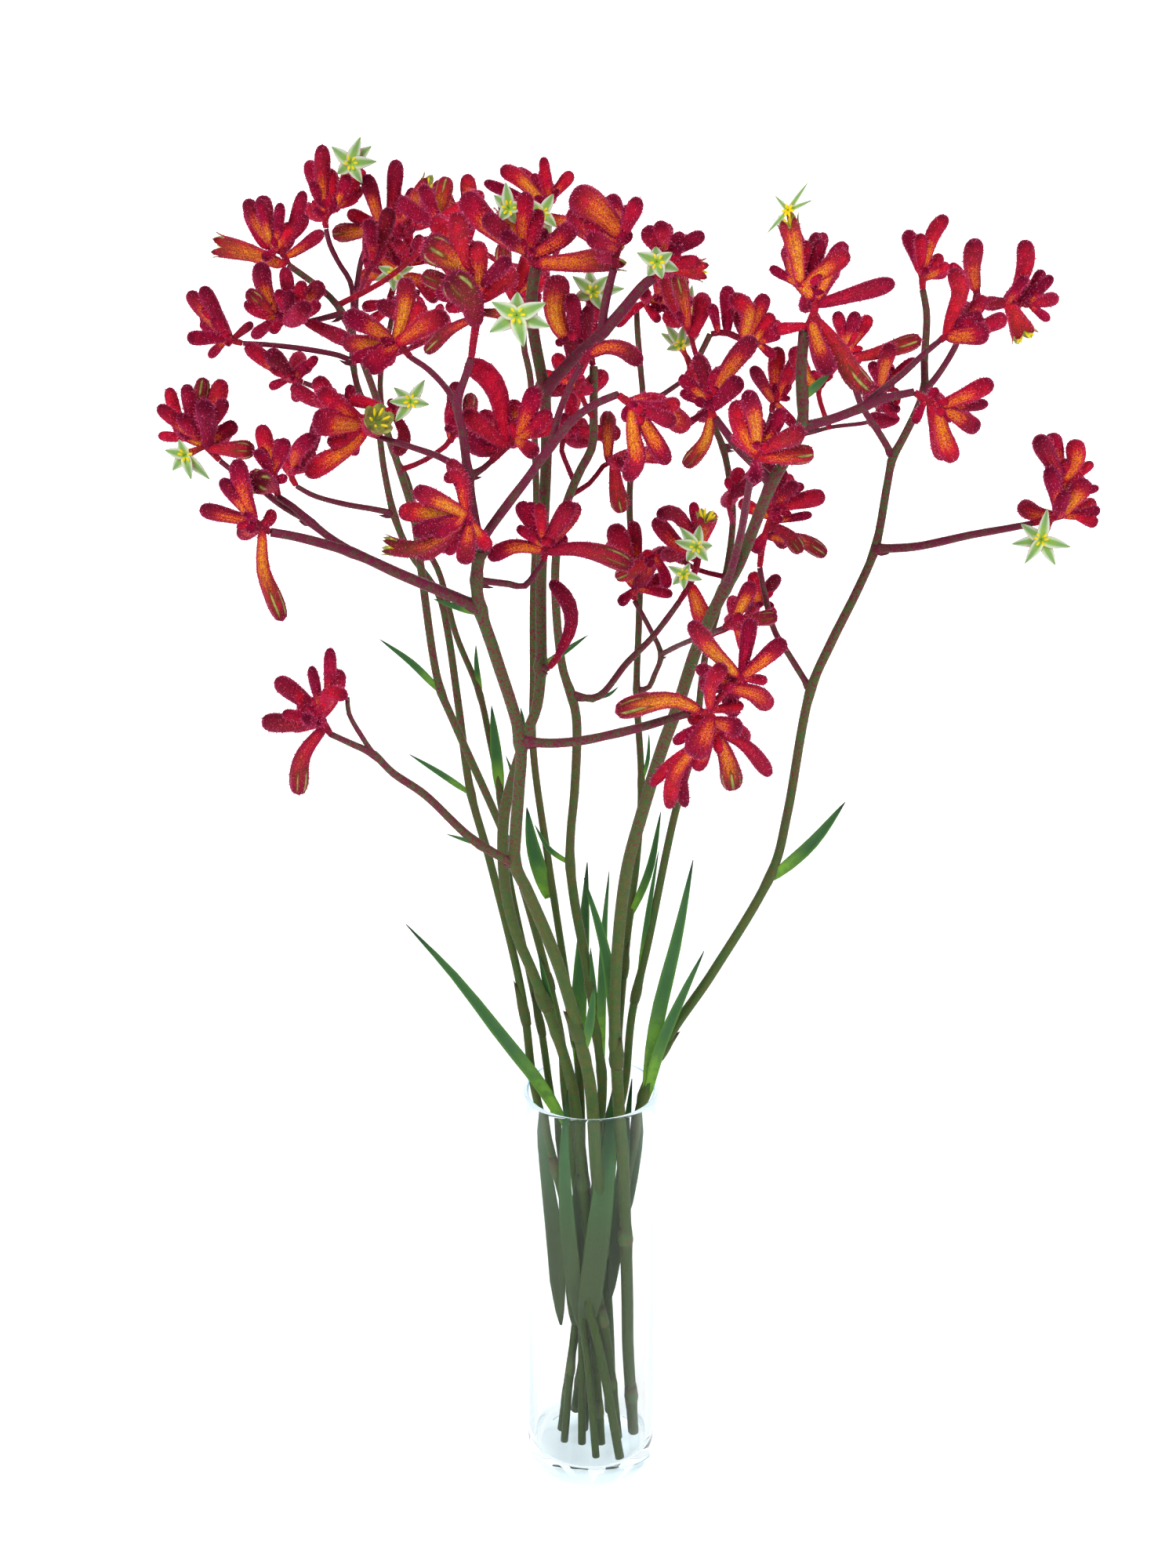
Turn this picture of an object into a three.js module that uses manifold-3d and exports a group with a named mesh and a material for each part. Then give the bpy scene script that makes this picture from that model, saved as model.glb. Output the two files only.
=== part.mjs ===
// Red kangaroo paw cut flowers standing in a clear glass cylinder vase.
// Millimetres, +Z up. The origin is the middle of the vase's underside.
// The stems rest in the vase: each stem with its leaves is one piece, and each
// head of buds and flowers is one piece that sits on the end of its branch.
import * as THREE from 'three';
import Module from 'manifold-3d';

const wasm = await Module();
wasm.setup();

// Driving dimensions of the vase
const VASE = {
  height: 229,
  neckHeight: 209,
  baseRadius: 35.5,
  neckRadius: 34.2,
  rimRadius: 36,
  wall: 2.6,
  floor: 10,
  cornerRadius: 2.5,
  segments: 30,
};

// Driving dimensions of the flowers. Part of a flower's length is hidden when it
// points towards or away from the eye, and it leans by a share of that part:
// small buds lean less than full-grown flowers. Flowers below the first of the
// two widths have three sides, those below the second four, and others five.
const FLOWER = {
  length: 34, maxLean: 15, hiddenShare: 0.6, leanShare: 0.9, smallLeanShare: 0.5,
  smallWidth: 16, stalkLength: 2, sideWidths: [13.5, 26],
};
const STAR = { sides: 4, lean: -10, stagger: 2, thickness: 0.9, throatShare: 1.5, notchShare: 1.25 };
const RACHIS = { radius: 2.2, seatRadius: 1.5, sides: 4 };

// Stems of this width or more, and branches likewise, get one side more
const STOUT = { stemWidth: 6, branchWidth: 4.6 };
const STEM_SIDES = 5;
const BRANCH_SIDES = 4;

// A leaf's cross-sections from tip to root: place, width and thickness as shares
const LEAF = {
  thickness: 1.1, tip: 0.35, sides: 4,
  places: [0, 0.3, 0.65, 0.93, 1], widths: [0.7, 1, 0.8, 0.4], thicknesses: [1, 1.2, 1.3, 1],
};

// Clear space between a head and its branch and under the foot of a stem, and how
// much of a stem's width its slanting foot needs besides
const SEAT_GAP = 0.35;
const FOOT_RISE = 0.11;

// The eye point from which the bunch is laid out: a place in the bunch is given
// as a picture coordinate (across, down) and a depth in mm, where a positive
// depth is farther from the eye than the vase's axis. Depths are those at the
// rim, and the bunch spreads front to back above it.
const EYE = {
  x: -1.5, y: -929, z: 716,
  tilt: THREE.MathUtils.degToRad(18.8),
  focal: 2486, middleAcross: 750, middleDown: 1000,
};

const SPREAD = { gain: 0.4, from: 1385, to: 885 };

function spreadDepth(depth, down) {
  const share = THREE.MathUtils.inverseLerp(SPREAD.from, SPREAD.to, down);
  return depth * (1 + SPREAD.gain * THREE.MathUtils.clamp(share, 0, 1));
}

function place([across, down], rimDepth, lean = 0) {
  const depth = spreadDepth(rimDepth, down) + lean;
  const right = (across - EYE.middleAcross) / EYE.focal;
  const below = (down - EYE.middleDown) / EYE.focal;
  const alongY = Math.cos(EYE.tilt) - below * Math.sin(EYE.tilt);
  const alongZ = -Math.sin(EYE.tilt) - below * Math.cos(EYE.tilt);
  const reach = (depth - EYE.y) / alongY;
  return new THREE.Vector3(EYE.x + reach * right, depth, EYE.z + reach * alongZ);
}

// How many mm one picture unit is at a place in the bunch
function mmPerUnit([, down], rimDepth) {
  return (spreadDepth(rimDepth, down) - EYE.y) / (Math.cos(EYE.tilt) * EYE.focal);
}

// Stems. "line" runs from the top of the stem down to the rim of the vase as
// [across, down, depth], "foot" goes on inside the vase as [x, y, z] in mm, and
// "width" is the diameter at the top and at the foot. Branches start on the
// line. A leaf's line runs from its tip to its root.
const STEMS = {
  "stem_01": {
    "width": [3.0, 5.0],
    "line": [[452, 400, 62], [450, 462, 59], [462, 510, 56], [478, 530, 55], [490, 600, 51],
      [502, 655, 48],
      [520, 700, 46], [560, 760, 42], [570, 800, 39], [584, 895, 34], [600, 1009, 27],
      [625, 1099, 22], [666, 1270, 12], [681, 1385, 5]],
    "foot": [[-21, 0, 190], [-12, -5, 150], [-3, -10, 110], [6, -16, 70], [16, -22, 11]],
    "branches": [
      {"width": [3.0, 2.6], "line": [[452, 400, 62], [447, 360, 62], [432, 335, 61], [420, 310, 60],
        [416, 292, 60]]},
      {"width": [3.0, 2.6], "line": [[452, 400, 62], [460, 335, 66], [470, 310, 69], [479, 298, 70]]},
      {"width": [3.0, 2.6], "line": [[450, 462, 59], [437, 455, 58], [400, 447, 55], [345, 440, 52],
        [310, 438, 50]]},
      {"width": [3.0, 2.6], "line": [[462, 510, 56], [430, 505, 55], [400, 493, 55], [387, 488, 55]]},
      {"width": [3.4, 2.6], "line": [[502, 655, 48], [480, 650, 46], [440, 643, 44], [400, 632, 42],
        [378, 620, 40]]}],
    "leaves": [
      {"width": 3.6, "line": [[522, 962, 26], [560, 985, 26], [600, 1012, 27]]}]},
  "stem_02": {
    "width": [3.2, 5.0],
    "line": [[368, 338, 25], [405, 365, 23], [425, 383, 22], [437, 400, 21], [470, 480, 19],
      [490, 540, 18],
      [510, 600, 17], [528, 660, 16], [537, 725, 15], [560, 874, 13], [578, 919, 13],
      [635, 1046, 11], [657, 1100, 10], [715, 1320, 7], [720, 1385, 6]],
    "foot": [[-10, 3, 190], [-6, 0, 150], [2, -6, 70], [6, -10, 11]],
    "branches": [
      {"width": [3.0, 2.6], "line": [[437, 400, 21], [420, 404, 16], [404, 408, 13], [394, 410, 12]]}],
    "leaves": [
      {"width": 4.0, "line": [[484, 815, 12], [525, 845, 12], [562, 882, 13]]},
      {"width": 7.5, "line": [[518, 1179, -14], [578, 1242, -14], [640, 1320, -13], [694, 1389, -4],
        [724, 1442, 3]]}]},
  "stem_03": {
    "width": [3.0, 4.2],
    "line": [[500, 405, 82], [485, 490, 78], [500, 575, 72], [518, 608, 70], [540, 690, 64],
      [560, 730, 61],
      [582, 810, 56], [611, 882, 51], [625, 944, 47], [637, 1005, 42], [648, 1110, 35],
      [675, 1240, 26], [690, 1310, 21], [701, 1385, 16]],
    "foot": [[-17, 9, 190], [-12, 2, 150], [-2, -13, 70], [3, -21, 11]],
    "branches": [],
    "leaves": [
      {"width": 3.2, "line": [[607, 822, 52], [608, 850, 52], [613, 884, 51]]},
      {"width": 6.4, "line": [[627, 900, 44], [633, 960, 43], [638, 1012, 42]]},
      {"width": 2.6, "line": [[645, 963, 40], [653, 990, 40], [640, 1022, 41]]}]},
  "stem_04": {
    "width": [5.2, 7.0],
    "line": [[612, 700, -57], [608, 740, -55], [612, 775, -52], [632, 836, -49],
      [664, 945, -44], [662, 1005, -41], [658, 1060, -38], [657, 1103, -37], [672, 1135, -35],
      [713, 1233, -30], [741, 1331, -26], [753, 1385, -24]],
    "foot": [[3, -16, 190], [6, -7, 150], [8, 1, 110], [10, 9, 70], [12, 18, 11]],
    "branches": [
      {"width": [4.6, 3.2], "line": [[612, 700, -57], [618, 685, -58], [650, 640, -62], [670, 614, -66],
        [702, 570, -71], [730, 536, -76], [760, 515, -80], [788, 503, -84]]},
      {"width": [3.0, 2.6], "line": [[702, 570, -71], [712, 530, -72], [728, 490, -74],
        [741, 465, -75]]},
      {"width": [4.4, 3.2], "line": [[612, 700, -57], [602, 640, -59], [597, 605, -60], [590, 550, -63],
        [583, 515, -66], [594, 480, -69], [601, 457, -71]]},
      {"width": [3.0, 2.6], "line": [[583, 515, -66], [565, 490, -58], [545, 470, -52],
        [524, 456, -47]]},
      {"width": [3.4, 2.6], "line": [[597, 605, -60], [565, 585, -55], [530, 572, -48],
        [485, 558, -38]]},
      {"width": [3.4, 2.6], "line": [[597, 605, -60], [610, 602, -57], [625, 590, -52]]},
      {"width": [3.4, 2.6], "line": [[608, 740, -55], [650, 745, -51], [668, 748, -49],
        [685, 728, -45], [693, 716, -42]]},
      {"width": [3.8, 3.0], "line": [[612, 700, -57], [606, 690, -63], [601, 682, -70],
        [600, 674, -76]]},
      {"width": [5.4, 4.0], "line": [[612, 775, -52], [570, 757, -53], [510, 732, -55], [450, 705, -57],
        [400, 690, -60], [370, 683, -62], [346, 679, -64]]},
      {"width": [4.0, 3.0], "line": [[450, 705, -57], [420, 685, -54], [395, 665, -51],
        [372, 645, -48], [355, 634, -46]]},
      {"width": [3.4, 2.6], "line": [[395, 665, -51], [360, 645, -42], [330, 622, -34],
        [300, 603, -31], [281, 588, -30]]},
      {"width": [4.4, 2.8], "line": [[657, 1103, -37], [602, 1070, -43], [541, 1013, -50],
        [500, 985, -56],
        [476, 962, -60], [445, 947, -64], [421, 936, -68]]},
      {"width": [2.6, 2.2], "line": [[476, 962, -60], [465, 945, -61], [445, 910, -62],
        [443, 890, -62]]},
      {"width": [4.8, 3.6], "line": [[664, 945, -44], [700, 948, -48], [740, 945, -54], [780, 937, -60],
        [820, 927, -66], [860, 915, -72], [880, 909, -76]]}],
    "leaves": [
      {"width": 2.2, "line": [[570, 1064, -46], [590, 1070, -45], [612, 1077, -42]]},
      {"width": 2.4, "line": [[664, 902, -44], [667, 920, -44], [666, 944, -44]]},
      {"width": 3.2, "line": [[553, 764, -52], [580, 773, -52], [608, 782, -52]]},
      {"width": 5.0, "line": [[758, 1255, -31], [753, 1300, -29], [743, 1345, -26]]}]},
  "stem_05": {
    "width": [5.0, 6.4],
    "line": [[683, 342, -24], [678, 380, -23], [680, 420, -22], [694, 500, -21], [697, 560, -20],
      [690, 740, -18], [690, 850, -17], [685, 900, -16], [674, 931, -15],
      [655, 990, -14], [643, 1040, -13], [643, 1119, -12], [656, 1184, -11], [680, 1242, -10],
        [704, 1303, -10],
      [717, 1340, -9], [730, 1388, -9]],
    "foot": [[-5, -9, 190], [-2, -8, 150], [3, -7, 110], [9, -6, 70], [15, -5, 11]],
    "branches": [
      {"width": [5.6, 4.4], "line": [[694, 500, -21], [715, 475, -26], [740, 450, -31], [768, 425, -36],
        [795, 395, -40], [820, 365, -43], [834, 354, -44]]},
      {"width": [4.0, 3.4], "line": [[768, 425, -36], [770, 400, -38], [776, 370, -41],
        [783, 343, -44]]},
      {"width": [3.0, 2.6], "line": [[690, 850, -17], [699, 853, -22]]}],
    "leaves": [
      {"width": 3.4, "line": [[750, 810, -8], [724, 828, -11], [690, 850, -17]]},
      {"width": 4.2, "line": [[687, 1217, -6], [697, 1260, -7], [710, 1318, -9]]}]},
  "stem_06": {
    "width": [3.2, 4.4],
    "line": [[694, 287, 80], [686, 330, 80], [672, 390, 78], [668, 440, 76], [676, 480, 74],
      [684, 640, 66],
      [680, 766, 59], [680, 860, 54], [680, 956, 49], [700, 1103, 38],
      [721, 1241, 30], [731, 1310, 26], [740, 1385, 22]],
    "foot": [[-5, 16, 190], [-5, 9, 150], [-5, 2, 110], [-5, -10, 11]],
    "branches": [],
    "leaves": [
      {"width": 8.5, "line": [[672, 1030, 38], [680, 1080, 38], [700, 1145, 37]]},
      {"width": 8.5, "line": [[749, 1100, 22], [745, 1180, 24], [738, 1290, 25], [740, 1370, 23]]}]},
  "stem_07": {
    "width": [4.0, 5.4],
    "line": [[757, 467, 17], [757, 520, 17], [755, 570, 18], [740, 600, 18], [725, 635, 18],
      [715, 670, 18],
      [708, 730, 18], [717, 850, 18], [728, 885, 18], [735, 915, 18], [733, 1005, 17],
      [728, 1060, 16], [727, 1100, 16], [733, 1152, 15], [748, 1230, 14], [760, 1310, 13],
        [768, 1385, 13]],
    "foot": [[4, 10, 190], [1, 5, 110], [-1, 4, 70], [-4, 2, 11]],
    "branches": [
      {"width": [3.8, 3.0], "line": [[728, 885, 18], [760, 890, 18], [800, 845, 18], [830, 815, 17],
        [850, 790, 16],
        [866, 768, 14]]}],
    "leaves": [
      {"width": 2.2, "line": [[789, 876, 20], [776, 886, 19], [758, 890, 18]]},
      {"width": 3.0, "line": [[682, 1052, 18], [700, 1082, 17], [728, 1102, 16]]},
      {"width": 5.0, "line": [[777, 1111, 8], [771, 1180, 10], [767, 1290, 12], [767, 1370, 13]]},
      {"width": 4.0, "line": [[753, 1208, 11], [756, 1250, 12], [761, 1318, 13]]}]},
  "stem_08": {
    "width": [3.0, 4.4],
    "line": [[812, 392, 85], [813, 420, 84], [817, 470, 80], [820, 520, 76], [805, 600, 71],
      [805, 680, 66], [815, 720, 63], [815, 790, 59], [812, 880, 54], [818, 1000, 47],
      [812, 1100, 41], [803, 1170, 36], [790, 1310, 28], [786, 1385, 24]],
    "foot": [[7, 18, 190], [-5, 7, 110], [-10, 0, 70], [-15, -8, 11]],
    "branches": [
      {"width": [3.0, 2.6], "line": [[820, 520, 76], [850, 500, 72], [879, 480, 68]]},
      {"width": [3.2, 2.6], "line": [[812, 880, 54], [826, 878, 53], [835, 860, 52], [843, 835, 50],
        [828, 800, 51],
        [809, 766, 52]]},
      {"width": [3.0, 2.6], "line": [[843, 835, 50], [860, 826, 38], [878, 818, 24], [905, 808, 12],
        [923, 801, 4]]}],
    "leaves": [
      {"width": 4.6, "line": [[843, 1035, 34], [828, 1110, 35], [804, 1168, 36]]},
      {"width": 2.4, "line": [[828, 935, 49], [826, 970, 48], [817, 1000, 47]]}]},
  "stem_09": {
    "width": [4.6, 6.8],
    "line": [[1026, 422, -70], [1022, 475, -68], [1023, 545, -66], [1000, 590, -63], [985, 615, -61],
      [955, 690, -55], [940, 725, -52], [925, 750, -49], [905, 790, -46], [888, 829, -42],
      [865, 900, -38], [847, 948, -35], [819, 1038, -31], [798, 1119, -27], [784, 1287, -19],
      [788, 1385, -16]],
    "foot": [[17, -14, 190], [20, -9, 110], [21, -5, 70], [25, 0, 11]],
    "branches": [
      {"width": [4.0, 3.0], "line": [[925, 750, -49], [932, 730, -54], [945, 680, -64],
        [952, 640, -74], [958, 606, -82]]},
      {"width": [4.4, 3.4], "line": [[985, 615, -61], [960, 590, -57], [940, 570, -53],
        [925, 550, -50], [913, 534, -48]]},
      {"width": [4.4, 3.4], "line": [[1023, 545, -66], [1060, 535, -66], [1100, 520, -66],
        [1130, 508, -66], [1166, 500, -66]]},
      {"width": [3.2, 2.6], "line": [[1100, 520, -66], [1118, 503, -64], [1150, 478, -59],
        [1180, 450, -55], [1198, 435, -52]]}],
    "leaves": [
      {"width": 4.0, "line": [[1060, 475, -66], [1045, 488, -67], [1023, 508, -67]]},
      {"width": 6.2, "line": [[745, 1120, -12], [774, 1221, -16], [787, 1335, -18]]}]},
  "stem_10": {
    "width": [3.0, 4.8],
    "line": [[906, 426, 50], [890, 465, 50], [900, 520, 49], [922, 570, 48], [933, 630, 47],
      [935, 660, 46],
      [930, 710, 44], [915, 780, 42], [900, 835, 40], [885, 950, 35], [860, 1042, 32],
      [827, 1201, 25], [806, 1295, 21], [797, 1385, 18]],
    "foot": [[12, 16, 190], [6, 13, 150], [-1, 11, 110], [-9, 6, 70], [-17, 2, 11]],
    "branches": [
      {"width": [3.0, 2.6], "line": [[922, 570, 48], [945, 568, 53], [965, 560, 57], [978, 545, 59],
        [984, 527, 60]]},
      {"width": [2.4, 2.0], "line": [[965, 560, 57], [1000, 556, 56], [1030, 553, 54],
        [1060, 545, 52], [1110, 538, 48],
        [1134, 527, 46]]}],
    "leaves": [
      {"width": 3.4, "line": [[840, 1085, 27], [829, 1150, 26], [814, 1255, 23]]}]},
  "stem_11": {
    "width": [3.4, 6.0],
    "line": [[1177, 370, 27], [1182, 400, 24], [1179, 460, 17], [1178, 500, 13], [1146, 570, 9],
      [1139, 582, 9], [1132, 616, 8], [1116, 700, 6], [1094, 752, 5], [1060, 820, 5], [1034, 880, 4],
      [1004, 1039, 3], [986, 1109, 2], [908, 1242, 0], [852, 1324, -1], [824, 1388, -2]],
    "foot": [[22, 2, 190], [15, 6, 150], [7, 10, 110], [-1, 14, 70], [-9, 19, 11]],
    "branches": [
      {"width": [3.4, 2.8], "line": [[1139, 582, 9], [1125, 558, 9], [1098, 515, 7], [1090, 490, 6],
        [1087, 471, 5]]},
      {"width": [3.4, 2.6], "line": [[1178, 500, 13], [1195, 480, 9], [1218, 443, 4],
        [1235, 402, 1], [1244, 387, 0]]},
      {"width": [2.8, 2.4], "line": [[1235, 402, 1], [1248, 393, -4], [1256, 389, -7]]},
      {"width": [4.6, 3.2], "line": [[1116, 700, 6], [1168, 697, -3], [1239, 682, -12],
        [1284, 674, -17], [1316, 668, -20]]},
      {"width": [3.4, 2.8], "line": [[1034, 880, 4], [1008, 838, 10], [988, 805, 14],
        [975, 756, 18], [969, 724, 20]]}],
    "leaves": [
      {"width": 7.0, "line": [[1078, 1023, -2], [1035, 1075, 0], [984, 1120, 2]]},
      {"width": 8.0, "line": [[884, 1097, -6], [864, 1193, -5], [838, 1300, -4], [824, 1396, -3]]},
      {"width": 6.4, "line": [[898, 1213, -10], [872, 1266, -9], [840, 1340, -6], [825, 1400, -3]]}]},
};

// Heads. "depth" is the head's distance behind the vase's axis, "rachis" holds
// the short axes that the flowers grow from, the first starting at its branch,
// and each flower is [form, width, tip, points between, root, lean] in picture
// coordinates; the lean is how far its tip stands behind its root, in mm.
// A star is [form, lobe width, middle, root, lobe tips].
const HEADS = {
  "head_01": {"depth": 60, "rachis": [[[416, 292], [415, 278], [428, 262]]], "flowers": [
    ["bud", 19, [411, 184], [414, 270]],
    ["bud", 20, [394, 206], [412, 256]],
    ["bud", 12, [398, 232], [410, 260]],
    ["bud", 18, [460, 240], [427, 266]],
    ["bud", 14, [465, 217], [430, 262], 12],
    ["star", 15, [447, 208], [425, 262], [[460, 174], [423, 187], [481, 206], [430, 222],
      [462, 234], [474, 186]]]]},
  "head_02": {"depth": 25, "rachis": [[[368, 338], [360, 322], [346, 313]]], "flowers": [
    ["bud", 15, [331, 254], [347, 312]],
    ["bud", 14, [314, 267], [338, 314]],
    ["bud", 14, [358, 259], [352, 308]],
    ["bud", 15, [388, 243], [367, 305], [358, 318]],
    ["open", 25, [272, 312], [318, 322], [360, 336]],
    ["bud", 16, [412, 296], [375, 322]],
    ["bud", 12, [336, 330], [352, 320], -8]]},
  "head_03": {"depth": 70, "rachis": [[[479, 298], [486, 288], [508, 280], [530, 290]]], "flowers": [
    ["bud", 19, [467, 222], [480, 268], [484, 288]],
    ["bud", 20, [506, 203], [500, 265], [496, 284]],
    ["open", 27, [555, 232], [520, 268], [504, 282]],
    ["bud", 15, [567, 254], [524, 286]],
    ["bud", 17, [581, 267], [532, 290]],
    ["slit", 23, [426, 298], [480, 290]],
    ["bud", 16, [444, 272], [486, 288], 12]]},
  "head_04": {"depth": 12, "rachis": [[[394, 410], [372, 408], [352, 404]]], "flowers": [
    ["bud", 22, [334, 336], [335, 360], [350, 400]],
    ["bud", 17, [363, 341], [374, 404]],
    ["slit", 18, [316, 372], [350, 403]],
    ["bud", 14, [355, 370], [368, 404], -10],
    ["dark", 20, [384, 362], [386, 404], 8],
    ["bud", 14, [322, 430], [354, 408]],
    ["bud", 20, [448, 436], [390, 414], -8],
    ["bud", 12, [346, 424], [362, 408], -8]]},
  "head_05": {"depth": 50, "rachis": [[[310, 438], [296, 434], [288, 430]]], "flowers": [
    ["bud", 18, [258, 365], [294, 428]],
    ["bud", 15, [257, 403], [290, 431]],
    ["bud", 17, [239, 431], [290, 433]],
    ["bud", 12, [267, 455], [289, 434]],
    ["dark", 12, [322, 412], [296, 432], -6]]},
  "head_06": {"depth": 82, "rachis": [[[500, 405], [497, 385], [508, 352], [522, 332]]], "flowers": [
    ["bud", 14, [502, 303], [518, 336]],
    ["bud", 12, [520, 292], [523, 334], 8],
    ["bud", 12, [537, 300], [525, 334]],
    ["bud", 20, [458, 372], [470, 350], [506, 356]],
    ["bud", 20, [558, 385], [535, 358], [508, 354], -8],
    ["star", 12, [502, 348], [505, 362], [[482, 340], [528, 341], [478, 358], [502, 372], [520, 364]]],
    ["bud", 14, [462, 392], [498, 386]],
    ["bud", 14, [470, 412], [500, 392], -6],
    ["bud", 12, [535, 372], [500, 390]]]},
  "head_07": {"depth": -47, "rachis": [[[524, 456], [510, 440], [496, 434]]], "flowers": [
    ["bud", 26, [440, 402], [470, 415], [500, 436]],
    ["bud", 22, [438, 440], [498, 437], 8],
    ["bud", 25, [570, 402], [540, 416], [508, 438]],
    ["bud", 14, [448, 460], [500, 442], -8],
    ["bud", 18, [464, 466], [505, 444], -12]]},
  "head_08": {"depth": -71, "rachis": [[[601, 457], [606, 420], [612, 380], [606, 345]]], "flowers": [
    ["slit", 38, [541, 310], [572, 328], [606, 348], -8],
    ["slit", 38, [572, 352], [600, 385], [610, 416], -12],
    ["bud", 23, [583, 270], [592, 335], [606, 350]],
    ["bud", 25, [609, 307], [614, 376], -4],
    ["bud", 18, [650, 330], [612, 366]],
    ["bud", 26, [657, 345], [614, 384], 10],
    ["slit", 22, [538, 350], [580, 368], [610, 384], 9],
    ["slit", 18, [542, 450], [575, 420], [606, 404], 10],
    ["star", 20, [659, 402], [611, 398], [[627, 385], [624, 424], [668, 443], [702, 417],
      [697, 386], [660, 372]]]]},
  "head_09": {"depth": -24, "rachis": [[[683, 342], [676, 328], [664, 318]]], "flowers": [
    ["bud", 30, [592, 246], [612, 275], [664, 320]],
    ["bud", 22, [618, 275], [662, 322], -10],
    ["bud", 18, [642, 298], [668, 325], -12],
    ["bud", 20, [684, 270], [677, 326], 8],
    ["cup", 34, [650, 258], [664, 318], 4],
    ["open", 30, [798, 326], [740, 334], [682, 336], -3]]},
  "head_10": {"depth": 80, "rachis": [[[694, 287], [697, 262], [702, 252]]], "flowers": [
    ["bud", 20, [638, 215], [660, 226], [696, 262]],
    ["bud", 14, [617, 232], [692, 266], 8],
    ["bud", 13, [693, 200], [698, 256]],
    ["bud", 15, [730, 220], [702, 256]],
    ["open", 22, [752, 290], [720, 284], [696, 276], -6]]},
  "head_11": {"depth": -44, "rachis": [[[783, 343], [787, 318], [796, 298]]], "flowers": [
    ["bud", 38, [728, 248], [755, 262], [794, 302], -4],
    ["bud", 20, [779, 248], [795, 302], 8],
    ["bud", 14, [802, 262], [796, 302], -9],
    ["bud", 20, [750, 303], [772, 312], [788, 318], -10],
    ["dark", 16, [815, 262], [800, 300], 10]]},
  "head_12": {"depth": -44, "rachis": [[[834, 354], [842, 340], [848, 320]]], "flowers": [
    ["bud", 20, [843, 285], [848, 322]],
    ["bud", 18, [872, 300], [850, 325], 8],
    ["bud", 12, [870, 316], [848, 328], -6],
    ["bud", 22, [824, 292], [844, 326], -10],
    ["star", 16, [838, 334], [844, 338], [[812, 322], [826, 352], [845, 356], [866, 345],
      [858, 322], [836, 314]]],
    ["open", 24, [900, 345], [872, 342], [846, 338], 4]]},
  "head_13": {"depth": 17, "rachis": [[[757, 467], [750, 445], [738, 434], [720, 434]]], "flowers": [
    ["bud", 30, [713, 350], [708, 400], [722, 436]],
    ["bud", 20, [728, 375], [738, 436], -9],
    ["dark", 16, [750, 390], [748, 442], -8],
    ["star", 16, [756, 372], [750, 440], [[730, 352], [750, 342], [775, 352], [730, 382],
      [768, 396], [797, 368]], 4]]},
  "head_14": {"depth": 85, "rachis": [[[812, 392], [826, 384], [850, 380]]], "flowers": [
    ["bud", 18, [877, 356], [832, 384]],
    ["bud", 14, [874, 392], [840, 384], -6],
    ["bud", 12, [841, 410], [822, 388]],
    ["bud", 14, [786, 416], [803, 398], [824, 385], -10],
    ["star", 12, [878, 393], [848, 382], [[883, 363], [901, 379], [888, 423], [864, 421],
      [860, 372]], 6]]},
  "head_15": {"depth": 68, "rachis": [[[879, 480], [880, 466], [876, 456]]], "flowers": [
    ["star", 12, [868, 440], [877, 460], [[848, 411], [843, 425], [873, 412], [893, 426],
      [850, 446]]]]},
  "head_16": {"depth": 50, "rachis": [[[906, 426], [925, 424], [950, 434], [972, 436]]], "flowers": [
    ["bud", 13, [908, 388], [916, 422]],
    ["bud", 20, [928, 365], [928, 424]],
    ["bud", 22, [932, 378], [954, 396], [948, 430], -8],
    ["bud", 16, [974, 405], [955, 434], 6],
    ["bud", 15, [995, 425], [968, 436], -4],
    ["bud", 12, [988, 455], [964, 436], 6]]},
  "head_17": {"depth": -48, "rachis": [[[913, 534], [904, 520], [906, 506]]], "flowers": [
    ["bud", 26, [964, 430], [935, 462], [908, 510]],
    ["bud", 20, [893, 455], [890, 500], [904, 516]],
    ["bud", 22, [945, 483], [908, 522], -10],
    ["bud", 14, [868, 500], [902, 516], 8],
    ["slit", 20, [873, 596], [900, 562], [906, 526], 6],
    ["dark", 10, [870, 545], [902, 524], -6]]},
  "head_18": {"depth": 60, "rachis": [[[984, 527], [987, 514], [994, 508]]], "flowers": [
    ["bud", 16, [960, 468], [986, 514]],
    ["bud", 16, [987, 455], [988, 512], 8],
    ["bud", 16, [1012, 462], [992, 512], -6],
    ["bud", 13, [1014, 544], [990, 514], -8]]},
  "head_19": {"depth": -82, "rachis": [[[958, 606], [966, 586], [966, 572]]], "flowers": [
    ["bud", 24, [953, 499], [962, 530], [966, 576]],
    ["bud", 20, [935, 530], [962, 580], 8],
    ["bud", 23, [1027, 548], [968, 576], -5],
    ["slit", 24, [1038, 578], [1005, 582], [968, 584], 6],
    ["bud", 18, [962, 612], [966, 588], -12]]},
  "head_20": {"depth": -70, "rachis": [[[1026, 422], [1036, 405], [1040, 385],
    [1018, 362]]], "flowers": [
    ["open", 24, [1003, 275], [1015, 322], [1021, 364], -6],
    ["bud", 22, [1079, 310], [1062, 335], [1038, 388], 8],
    ["bud", 21, [1142, 360], [1090, 375], [1042, 390], -5],
    ["bud", 15, [986, 421], [1028, 414], -6],
    ["bud", 22, [1058, 478], [1044, 440], [1034, 408], -12],
    ["slit", 26, [1111, 500], [1088, 478], [1066, 440], [1038, 404], 6],
    ["bud", 15, [1000, 316], [1016, 362], 10],
    ["bud", 16, [1048, 305], [1028, 370], 12],
    ["bud", 12, [982, 341], [1018, 366], 8]]},
  "head_21": {"depth": 5, "rachis": [[[1087, 471], [1082, 450], [1078, 438]], [[1084, 460],
    [1105, 488], [1142, 497]]],
    "flowers": [
    ["bud", 15, [1067, 398], [1078, 440]],
    ["bud", 16, [1092, 398], [1080, 440], -8],
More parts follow.
